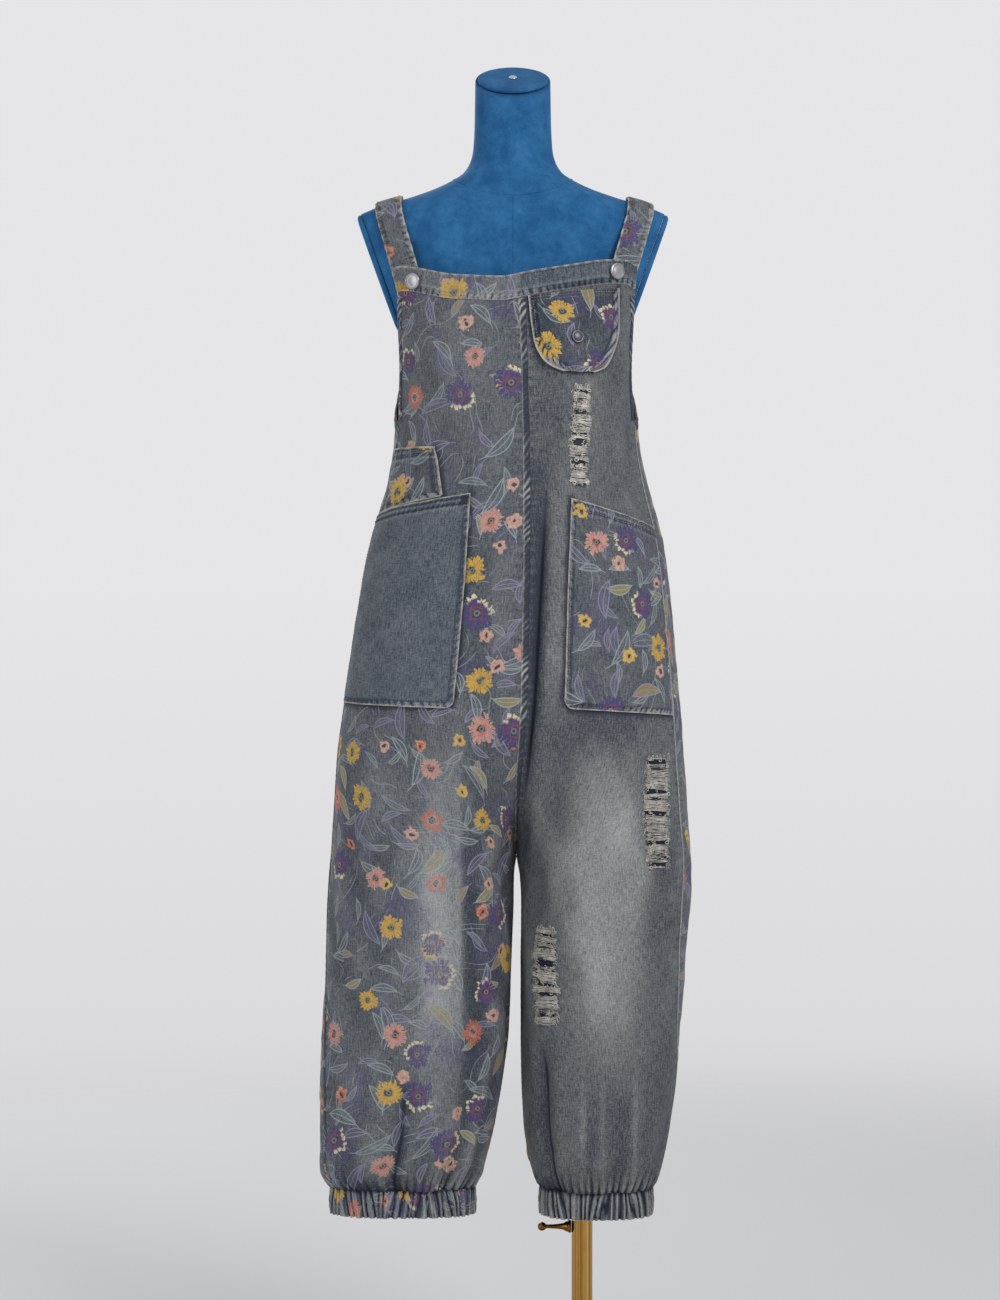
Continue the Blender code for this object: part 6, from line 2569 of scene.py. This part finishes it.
# ---------------------------------------------------------------------------- the form
@dataclass
class DressForm:
    """The limbless form that fills the jumpsuit, covered in velvet over its smooth shell."""

    shape: Table = Table(
        ("z", "half_width", "front", "back"),
        (
            (1572, 45, 45, 45), (1535, 46, 46, 46), (1512, 48, 48, 48), (1498, 52, 50, 52),
            (1486, 60, 53, 57), (1479, 70, 56, 61), (1467, 94, 61, 69), (1455, 128, 67, 77),
            (1443, 168, 73, 84), (1432, 188, 78, 90), (1415, 189, 83, 95), (1400, 184, 84, 98),
            (1375, 173, 88, 101), (1350, 160, 92, 103), (1325, 147, 98, 104), (1297, 133, 105, 104),
            (1250, 130, 114, 102), (1180, 126, 112, 97), (1080, 118, 98, 88), (1000, 134, 104, 97),
            (930, 152, 111, 110), (870, 160, 114, 119), (835, 154, 110, 114), (815, 140, 100, 105),
            (803, 118, 84, 90),
        ),
    )  # fmt: skip
    power: float = 2.2
    sides: int = 120
    neck_slant: float = math.radians(30)
    neck_top: float = 1.597
    neck_foot: float = 1.572
    slant_from: float = 1.512
    plate: float = 0.0065
    cap_radius: float = 42.0
    arm_x: float = 0.180  # where the flat shoulder ends pass a height, and how they lean
    arm_z: float = 1.4316
    arm_lean: float = 0.36
    collar_x: float = 0.0705  # the neck's seam at its sides, and how far it dips
    collar_z: float = 1.478
    collar_dips: tuple[float, float] = (0.026, 0.016)

    def depth(self, face: Face, x: Array, z: Array) -> Array:
        """How far the form reaches in front or behind at X and heights, or 0 past its side.

        Args:
            face: In front or behind.
            x: X from the form's middle.
            z: Heights.

        Returns:
            The depths.
        """
        across = np.abs(x) / self.shape.read("half_width", z)
        inside = (across < 1) & (z <= self.neck_foot)
        deep = self.shape.read("front" if face == Face.FRONT else "back", z)
        left = 1 - np.minimum(across, 1) ** self.power
        return np.where(inside, deep * left ** (1 / self.power), 0)

    def arm_plane(self, z: Array) -> Array:
        """X of the flat shoulder ends at a height."""
        return self.arm_x - (self.arm_z - z) * self.arm_lean

    def raised(self, y: Array, z: Array) -> Array:
        """The heights near the neck, tilted forward."""
        up = ease((z - self.slant_from) / (self.neck_foot - self.slant_from))
        return z + up * (self.neck_top - self.neck_foot + y * math.tan(self.neck_slant))

    def build(self) -> list[bpy.types.Object]:
        """Makes the torso, its cover's seams, the arm plates and the neck's cap."""
        return [self.torso(), self.cover_seams(), *map(self.arm_plate, Side), *self.cap()]

    def torso(self) -> bpy.types.Object:
        """Makes the torso.

        Returns:
            The piece.
        """
        angles = np.linspace(0, 2 * math.pi, self.sides, endpoint=False)
        c, s = superellipse(angles, self.power)
        z = np.linspace(FORM_FOOT_Z, 1.30, 60)
        z = np.concatenate([z, np.linspace(1.305, self.neck_foot, 90)])
        x = self.shape.read("half_width", z)[:, None] * c
        y = np.where(s < 0, *(self.shape.read(key, z)[:, None] for key in ("front", "back"))) * s
        limit = np.where(z > 1.29, self.arm_plane(z), 1.0)[:, None]
        x = np.clip(x, -limit, limit)
        z = self.raised(y, z[:, None] + 0 * c)
        # The cover is loose in front, just under the cap.
        z[-1] -= 0.0030 * ease(-1.4 * s) * (0.72 + 0.45 * c + 0.22 * np.sin(9 * angles))
        points = np.stack([x + FORM_X, y, z], axis=-1)
        faces = closed_faces(numbered(points))
        return make_piece("form_torso_cover", points, faces, PILE, "form", ("form_torso",))

    def cover_seams(self) -> bpy.types.Object:
        """Makes the cover's raised seams: down the middle, over the shoulders, round the neck.

        Returns:
            The piece.
        """
        seams = Bundle()
        # The front one ends at the seam round the neck's foot.
        collar = self.collar_z - self.collar_dips[0]
        for face, top in ((Face.FRONT, collar), (Face.BACK, self.neck_foot - 0.001)):
            z = np.linspace(1.33, top, 150)
            y = face * self.depth(face, 0 * z, z)
            line = np.stack([0 * z + FORM_X, y, self.raised(y, z)], axis=1)
            seams.threads(line[None], unit(line * (0, 1, 0))[None], 0.0006, 6)
        for side in Side:
            level = np.linspace(1.4330, self.collar_z, 80)
            wide = np.minimum(self.shape.read("half_width", level) * 0.999, self.arm_plane(level))
            line = np.stack([FORM_X + side * wide, 0 * level, level], axis=1)
            seams.threads(line[None], np.tile((0.0, 0.0, 1.0), (1, 80, 1)), 0.0006, 6)
        turn = np.linspace(0, 2 * math.pi, 160)
        x, s = self.collar_x * np.cos(turn), np.sin(turn)
        level = self.collar_z - np.where(s < 0, *self.collar_dips) * np.abs(s) ** 1.4
        front, back = (self.depth(face, x, level) for face in Face)
        line = np.stack([FORM_X + x, np.where(s < 0, -front, back), level], axis=1)
        outs = unit((line - (FORM_X, 0, 0)) * (1, 1, 0))
        seams.threads(line[None], outs[None], 0.0009, 6)
        return seams.make("form_cover_seams", PILE)

    def arm_plate(self, side: Side) -> bpy.types.Object:
        """Makes the covered plate on one cut shoulder, with a groove inside its rim.

        Args:
            side: Which shoulder's.

        Returns:
            The piece.
        """
        edge = []
        for face in Face:
            z = np.linspace(1.300, 1.4375, 50)
            depth = self.depth(face, self.arm_plane(z), z)
            part = np.stack([face * depth, z], axis=1)[depth > 0.004]
            edge.append(part if face is Face.FRONT else part[::-1])
        edge = np.concatenate(edge)
        middle = edge[:, 1].mean()
        run = np.array([side, 0, -self.arm_lean]) / math.hypot(1, self.arm_lean)
        rings = []
        # How far out, and how wide, each ring is; the groove is where they draw back.
        plate = self.plate
        for out, size in (
            (0.0003, 0.985), (0.0012, 1.0), (plate * 0.42, 0.998), (plate * 0.66, 0.985),
            (plate * 0.84, 0.962), (plate * 0.94, 0.935), (plate * 0.94, 0.922),
            (plate * 0.86, 0.912), (plate * 0.94, 0.900), (plate, 0.86), (plate + 0.0003, 0.45),
        ):  # fmt: skip
            z = middle + (edge[:, 1] - middle) * size
            flat = np.stack([FORM_X + side * self.arm_plane(z), edge[:, 0] * size, z], axis=1)
            rings.append(flat + out * run)
        rings = np.array(rings)
        faces = closed_faces(numbered(rings))
        if side is Side.LEFT:
            faces = [face[::-1] for face in faces]
        name = "arm_plate_" + SIDE_NAMES[side]
        return make_piece(name + "_cover", rings, faces, PILE, "form", (name,), sharp=80)

    def cap(self) -> list[bpy.types.Object]:
        """Makes the neck's cap and its screw.

        Returns:
            The two pieces.
        """
        slant = Matrix.Rotation(self.neck_slant, 4, "X")
        place = Matrix.Translation((FORM_X, 0, self.neck_top)) @ slant
        lip = self.cap_radius
        profile = (
            (lip - 4, 0.5), (lip - 1.2, 0.6), (lip - 0.3, 1.2), (lip, 2.2), (lip - 0.2, 3.4),
            (lip - 1.2, 4.3), (lip - 3, 4.6), (lip - 12, 4.9), (6, 5.0),
        )  # fmt: skip
        screw = (
            (3.4, 5.1), (4.6, 5.4), (4.8, 6.0), (4.4, 6.6), (3.4, 7.2), (2.0, 7.6), (0.7, 7.7),
        )  # fmt: skip
        return [
            turned_piece("neck_cap", profile, PILE, place),
            turned_piece("cap_screw", screw, STEEL, place, steps=40),
        ]


# ---------------------------------------------------------------------------- metal pieces
@dataclass
class Fastenings:
    """The bib's two domed buttons and the flap's snap, shown fastened."""

    buttons: dict = field(
        default_factory=lambda: {Side.RIGHT: (-115.5, 1347), Side.LEFT: (119.5, 1358)}
    )
    dome: tuple = (
        (3.2, 0.0), (3.2, 1.6), (8.2, 1.8), (9.3, 2.2), (9.8, 2.9), (9.75, 3.6), (9.3, 4.3),
        (8.5, 4.75), (7.9, 4.8), (7.4, 4.5), (7.0, 4.15), (6.4, 4.1), (4.6, 4.5), (2.6, 4.8),
        (0.8, 4.9),
    )  # fmt: skip
    snap: tuple = (
        (7.2, 0.0), (7.9, 0.3), (8.1, 0.9), (7.9, 1.6), (7.2, 2.1), (6.2, 2.2), (5.6, 2.0),
        (4.9, 2.3), (3.2, 2.8), (1.0, 3.0),
    )  # fmt: skip
    snap_at: tuple[float, float] = (0.575, 0.51)  # down and across the flap

    def build(self, cloth: Cloth, flap: Flap) -> list[bpy.types.Object]:
        """Makes the three fastenings on the cloth they go through.

        Args:
            cloth: The worn cloth's surface.
            flap: The flap that the snap closes.

        Returns:
            The pieces.
        """
        made = []
        for side, (x, z) in self.buttons.items():
            level = np.array([z * MM])
            share = cloth.share_at(side, Face.FRONT, level, np.array([x * MM]))
            out = cloth.normal(side, Face.FRONT, level, share)[0]
            spot = cloth.place(side, Face.FRONT, level, share)[0] + out * (GAP + 0.0006)
            name = "bib_button_" + SIDE_NAMES[side]
            made.append(turned_piece(name, self.dome, NICKEL, standing(spot, out), steps=96))
        spots, outs = flap.line(cloth, *(np.array([share]) for share in self.snap_at))
        place = standing(spots[0] + outs[0] * 0.0003, outs[0])
        made.append(turned_piece("flap_snap", self.snap, GUNMETAL, place, steps=72))
        return made


def standing(spot: Array, out: Array) -> Matrix:
    """The place of a turned piece that stands on a surface."""
    turn = Vector(out).to_track_quat("Z", "Y").to_matrix().to_4x4()
    return Matrix.Translation(Vector(spot)) @ turn


@dataclass
class Stand:
    """The round base, the outer tube, the pole that slides in it and the thumb screw."""

    pole: float = 10.5  # radii and heights in millimetres
    tube: float = 12.6
    bore: float = 10.8
    tube_top: float = 262.0
    base: float = 200.0
    thick: float = 7.0
    clamp_z: float = 224.0
    clamp: tuple = (
        (13.0, 3.6), (13.0, 7.0), (13.4, 7.4), (15.8, 7.6), (16.4, 7.3), (17.2, 6.3), (19.0, 6.0),
        (20.6, 5.1), (22.5, 4.0), (28.0, 3.1), (34.0, 2.6), (40.0, 2.3), (42.6, 2.2), (43.4, 2.8),
        (44.4, 3.9), (45.8, 4.8), (47.5, 5.3), (49.4, 5.1), (51.0, 4.4), (52.4, 3.0), (53.1, 1.4),
    )  # fmt: skip

    def build(self) -> list[bpy.types.Object]:
        """Makes the stand's four pieces.

        Returns:
            The pieces.
        """
        under = (FORM_FOOT_Z - GAP) / MM
        pole, tube, bore, top = self.pole, self.tube, self.bore, self.tube_top
        foot, thick, wide = self.thick + 6, self.thick, self.base
        inner = (
            (pole - 1, 20), (pole, 21), (pole, under - 10), (pole + 1.5, under - 7.4),
            (pole + 4, under - 6), (29, under - 6), (30, under - 5), (30, under),
        )  # fmt: skip
        outer = (
            (bore, foot), (tube, foot), (tube, top - 2.0), (tube + 0.5, top - 1.6),
            (tube + 0.5, top - 0.5), (tube, top), (bore + 0.3, top), (bore, top - 0.6),
            (bore, foot),
        )  # fmt: skip
        plate = (
            (wide - 1.5, 0), (wide - 0.4, 0.4), (wide, 1.5), (wide, thick - 2.5),
            (wide - 0.6, thick - 1.5), (wide - 2, thick - 1), (wide - 30, thick), (28, thick),
            (25, thick + 1), (24, thick + 3), (23, thick + 16), (22.3, thick + 17.2),
            (21, thick + 17.5), (tube + GAP / MM, thick + 17.5),
        )  # fmt: skip
        turn = Matrix.Translation((0, 0, self.clamp_z * MM)) @ Matrix.Rotation(-math.pi / 2, 4, "Y")
        handle = tuple((radius, height) for height, radius in self.clamp)
        return [
            turned_piece("inner_pole", inner, BRASS, body="form", steps=96),
            turned_piece("outer_tube", outer, BRASS, body="stand", steps=96),
            turned_piece("stand_base", plate, CAST_BRASS, body="stand", steps=144),
            turned_piece("clamp_screw", handle, AGED_BRASS, turn, "thumb_screw", steps=64),
        ]


# ---------------------------------------------------------------------------- the studio
@dataclass
class Studio:
    """A pale floor that fades into the room's pale air, soft lamps and the camera."""

    grey: str = "#dfe0e2"
    solid: float = 1.3  # how far out the floor is whole, and where it ends
    edge: float = 3.6
    lamps: tuple = (
        ("key", (1.7, -2.6, 2.5), (FORM_X, 0, 1.0), 1.3, 55),
        ("fill", (-2.4, -2.2, 1.2), (FORM_X, 0, 0.8), 2.0, 20),
        ("back", (-1.7, 2.6, 2.4), (FORM_X, 0, 1.0), 1.6, 34),
    )
    lens: float = 83.08  # millimetres, as the sensor
    sensor: float = 36
    eye: tuple[float, float, float] = (-0.0984, -3.6, 0.9156)

    def build(self) -> None:
        """Makes all of it."""
        self.floor()
        self.room()
        for lamp in self.lamps:
            self.lamp(*lamp)
        self.camera()

    def floor(self) -> None:
        """Makes the round floor, which thins out to nothing at its edge."""
        turn = np.linspace(0, 2 * math.pi, 96, endpoint=False)
        points = [(self.edge * math.cos(t), self.edge * math.sin(t), 0) for t in turn]
        mesh = bpy.data.meshes.new("floor")
        mesh.from_pydata(points, [], [tuple(range(len(points)))])
        graph = Graph("painted_floor_matt")
        place = graph.add("TexCoord", out="Object")
        patch = graph.add("TexNoise", {"Vector": place, "Scale": 1.4, "Detail": 2.0})
        amount = graph.formula("clip(patch - 0.45) * 0.35", patch=patch)
        colour = graph.paint(linear(self.grey), (linear("#d3d3d4"), amount))
        material = graph.finish(colour, Roughness=0.9, Specular_IOR_Level=0.1)
        far = graph.add("VectorMath", {0: place}, out="Value", operation="LENGTH")
        span = self.edge - self.solid
        thin = graph.formula("clip((far - start) / span)", far=far, start=self.solid, span=span)
        thin = graph.formula("thin * thin * (3 - 2 * thin)", thin=thin)
        clear = graph.add("BsdfTransparent")
        mixed = graph.add("MixShader", {0: thin, 1: graph.shader.outputs[0], 2: clear})
        graph.tree.links.new(mixed, graph.tree.nodes["Material Output"].inputs[0])
        mesh.materials.append(material)
        add_object("floor", mesh)

    def room(self) -> None:
        """Lights the object evenly; the air is pale to the eye, and metal sees one darker side."""
        graph = Graph("room", bpy.data.worlds)
        bpy.context.scene.world = graph.material
        aim = graph.add("SeparateXYZ", {0: graph.add("TexCoord", out="Generated")}).node.outputs
        rays = graph.add("LightPath").node.outputs
        names = {
            "y": aim[1], "z": aim[2], "seen": rays["Is Camera Ray"],
            "mirrored": rays["Is Glossy Ray"], "through": rays["Is Transmission Ray"],
        }  # fmt: skip
        names["gloss"] = graph.formula("most(mirrored, through)", **names)
        # Darker towards the floor for the eye; a dark strip in front of the object for gloss.
        names["air"] = graph.formula("0.80 - 0.17 * clip((0.02 - z) / 0.30)", **names)
        names["strip"] = graph.formula("0.22 + 0.66 * clip((y + 0.97) / 0.25)", **names)
        names["shown"] = graph.formula("seen * air + gloss * strip * (1 - seen)", **names)
        strength = graph.formula("shown + (1 - most(seen, gloss)) * 0.50", **names)
        graph.tree.links.new(strength, graph.shader.inputs["Strength"])
        graph.shader.inputs["Color"].default_value = linear("#fdfdff")

    def lamp(self, name: str, place: tuple, aim: tuple, size: float, power: float) -> None:
        """Hangs one soft square lamp and aims it.

        Args:
            name: Its name.
            place: Where it hangs.
            aim: Where it points.
            size: Its side, in metres.
            power: Its power, in watts.
        """
        data = bpy.data.lights.new(name, "AREA")
        data.size, data.energy = size, power
        lamp = add_object(name, data)
        lamp.location = place
        lamp.rotation_euler = (Vector(aim) - Vector(place)).to_track_quat("-Z", "Y").to_euler()

    def camera(self) -> None:
        """Sets the camera level, in front of the jumpsuit."""
        data = bpy.data.cameras.new("camera")
        data.lens, data.sensor_width = self.lens, self.sensor
        camera = add_object("camera", data)
        camera.location = self.eye
        camera.rotation_euler = (math.pi / 2, 0, 0)
        bpy.context.scene.camera = camera
        bpy.context.scene.view_settings.view_transform = "Standard"


# ---------------------------------------------------------------------------- the whole jumpsuit
FLAP = Flap("bib_flap", Side.LEFT, PRINTED, (64, 72), Thread.GREY, shift=(1.43, 0.77))
PATCHES: tuple[Patch, ...] = (
    Pocket(
        "big_pocket_right", Side.RIGHT, POCKETING, (110, 96), Thread.CHARCOAL, shift=(0.2, 0.0),
        outer_top=1075, inner_top=1097, outer_low=853.5, inner_low=848, inner_x=(-49, -57.5, -68),
        seed=1.0, tacks=((Thread.TAN, 11, 0.0005), (Thread.CHARCOAL, 3.5, 0.0009)),
    ),
    Pocket(
        "ticket_pocket_right", Side.RIGHT, PRINTED, (56, 48), Thread.GREY, shift=(0.61, 0.33),
        outer_top=1154, inner_top=1152.5, outer_low=1076.5, inner_low=1094, inner_x=(-91, -86, -82),
        outer_x=145, swell=0.0004, seed=2.0, hem=0.011, corner=0.002, pale=-0.1,
    ),
    Pocket(
        "big_pocket_left", Side.LEFT, PRINTED, (110, 96), Thread.GREY, shift=(0.84, 0.5),
        outer_top=1058, inner_top=1091, outer_low=838.5, inner_low=848, inner_x=(66.5, 61.5, 58.5),
        seed=3.0,
    ),
    FLAP,
)  # fmt: skip
BANDS = (
    (Band(Side.RIGHT, PRINTED, pale=0.25), Thread.TAN),
    (Band(Side.LEFT, POCKETING, pale=-0.10), Thread.CHARCOAL),
)
PANELS = (
    Panel(Side.RIGHT, Face.FRONT, PRINTED, 104),
    Panel(Side.RIGHT, Face.BACK, PRINTED, 84, 0.0036),
    Panel(Side.LEFT, Face.FRONT, PLAIN, 124, calm=0.6, rips=RIPS),
    Panel(Side.LEFT, Face.BACK, PRINTED, 84, 0.0036),
)
CUFFS = (
    Cuff(Side.RIGHT, PRINTED, -132, 86, 42, 41),
    Cuff(Side.LEFT, PLAIN, 100, 67, 55, 53, around=360),
)
STRAPS = (
    Strap(Side.RIGHT, PRINTED, -119, -147.5, -86, shift=(0.7, 0.4)),
    Strap(Side.LEFT, PRINTED, 122, 151.5, 86, shift=(1.5, 0.4)),
)


def make_seams() -> list[Seam]:
    """The jumpsuit's felled seams and hems.

    Returns:
        The seams and hems, not yet made.
    """
    front, back = (tuple((side, face) for side in Side) for face in Face)
    seams = [
        Seam("seam_centre_front", front, (1324, 676), 1.0, 0.0038, line=1.6, finish=PLAIN),
        Seam("seam_centre_back", back, (1310, 676), 1.0, 0.0036, finish=PRINTED, shift=(2, 1)),
    ]
    for side in Side:
        key, right = SIDE_NAMES[side], side is Side.RIGHT
        cloth = PRINTED if right else PLAIN
        ahead, behind = (side, Face.FRONT), (side, Face.BACK)
        seams += [
            Seam(f"side_seam_{key}", (ahead, behind) if right else (behind, ahead), (1182, 276),
                 0.0, 0.0030, 0.0082, 0.0009, 0.8 if right else 0.15,
                 line=0.4 if right else 2.0, line_at=0.35, finish=cloth, shift=(3, 2)),
            Seam(f"inseam_{key}", (ahead, behind), (668, 276), 1.0, 0.0028, 0.0084, 0.0008, 0.6,
                 finish=cloth, shift=(4, 3)),
            Seam(f"bib_hem_{key}", (ahead,), (1331, 1186), 0.0, 0.0052, 0.0090, finish=cloth,
                 shift=(5, 1)),
            TopHem(f"back_hem_{key}", (behind,), (0, 0), 0.0, 0.0050, 0.0090, shift=(6, 2)),
            ArmholeHem(f"armhole_hem_{key}", (behind,), (0, 0), 0.0, 0.0048, 0.0090, shift=(7, 1)),
        ]  # fmt: skip
    return seams


def seams_of(panel: Panel, seams: dict[str, bpy.types.Object]) -> list[bpy.types.Object]:
    """The seams and hems that are sewn on a panel; the centre ones are the left panels'.

    Args:
        panel: The panel.
        seams: All seams and hems, by name.

    Returns:
        Those on it.
    """
    front = panel.face is Face.FRONT
    starts = ("side_seam", "inseam", "bib_hem") if front else ("back_hem", "armhole")
    own = [
        seam for name, seam in seams.items()
        if name.startswith(starts) and name.endswith(SIDE_NAMES[panel.side])
    ]  # fmt: skip
    if panel.side is Side.LEFT:
        own.append(seams["seam_centre_" + panel.face.name.lower()])
    return own


@dataclass
class Jumpsuit:
    """The whole jumpsuit: cut, sewn and hung on its form."""

    cloth: Cloth = field(default_factory=Cloth)
    threads: dict[Thread, Bundle] = field(
        default_factory=lambda: {thread: Bundle() for thread in Thread}
    )
    bands: dict[Side, Made] = field(default_factory=dict)
    patches: list[tuple[Patch, bpy.types.Object, Skin]] = field(default_factory=list)
    panels: list[tuple[Panel, bpy.types.Object, Skin]] = field(default_factory=list)
    cuffs: dict[Side, Made] = field(default_factory=dict)
    straps: list[Made] = field(default_factory=list)

    def build(self, form: DressForm) -> None:
        """Makes its pieces in order, and logs each piece of cloth's flat size.

        Args:
            form: The form that it hangs on.
        """
        self.make_bib()
        self.make_legs()
        for strap in STRAPS:
            self.straps.append(strap.build(self.cloth, form))
            strap.sew(self.threads[Thread.TAN])
        seams = {seam.name: seam.build(self.cloth)[0] for seam in make_seams()}
        rips = [piece for rip in RIPS for piece in rip.build(self.cloth)]
        stitching = [
            bundle.make(f"stitches_{thread.name.lower()}", thread.value)
            for thread, bundle in self.threads.items()
        ]
        Fastenings().build(self.cloth, FLAP)
        self.declare(seams, rips, stitching)

    def make_bib(self) -> None:
        """Makes and sews what lies on the panels: the bib's bands, the pockets and the flap."""
        for band, thread in BANDS:
            self.bands[band.side] = band.build(self.cloth)
            band.sew(self.cloth, self.threads[thread])
        for patch in PATCHES:
            self.patches.append((patch, *patch.build(self.cloth)))
            patch.sew(self.cloth, self.threads)

    def make_legs(self) -> None:
        """Makes the four panels, each a leg with half the bib or back, and the cuffs."""
        for panel in PANELS:
            on_it = [p for p in PATCHES if (p.side, Face.FRONT) == (panel.side, panel.face)]
            edges = [patch.free_edges(self.cloth) for patch in on_it]
            self.panels.append((panel, *panel.build(self.cloth, edges)))
        for cuff in CUFFS:
            self.cuffs[cuff.side] = cuff.build()

    def declare(
        self, seams: dict[str, bpy.types.Object], rips: Sequence[bpy.types.Object],
        stitching: Sequence[bpy.types.Object],
    ) -> None:  # fmt: skip
        """Logs the flat size of every piece of cloth.

        Args:
            seams: The seams and hems, by name.
            rips: The yarns in the rips.
            stitching: All stitches.
        """
        for panel, piece, skin in self.panels:
            sewn = seams_of(panel, seams) + (list(rips) if panel.rips else [])
            declare_sheet(piece, skin)
        fronts = {panel.side: piece for panel, piece, _ in self.panels if panel.face is Face.FRONT}
        for side, (piece, skin) in self.bands.items():
            declare_sheet(piece, skin)
        for patch, piece, skin in self.patches:
            # The stitches are one piece for each thread, listed with the first pocket.
            sewn = stitching if patch is PATCHES[0] else []
            declare_sheet(piece, skin)
        for side, (piece, skin) in self.cuffs.items():
            declare_sheet(piece, skin)
        for piece, skin in self.straps:
            declare_sheet(piece, skin)


def main() -> None:
    """Makes the studio, the form and its stand, and the jumpsuit, and logs its cloth's cut sizes.
    """
    logging.basicConfig(level=logging.INFO, format="%(message)s")
    Studio().build()
    form = DressForm()
    form.build()
    Stand().build()
    Jumpsuit().build(form)


if __name__ == "__main__":
    main()
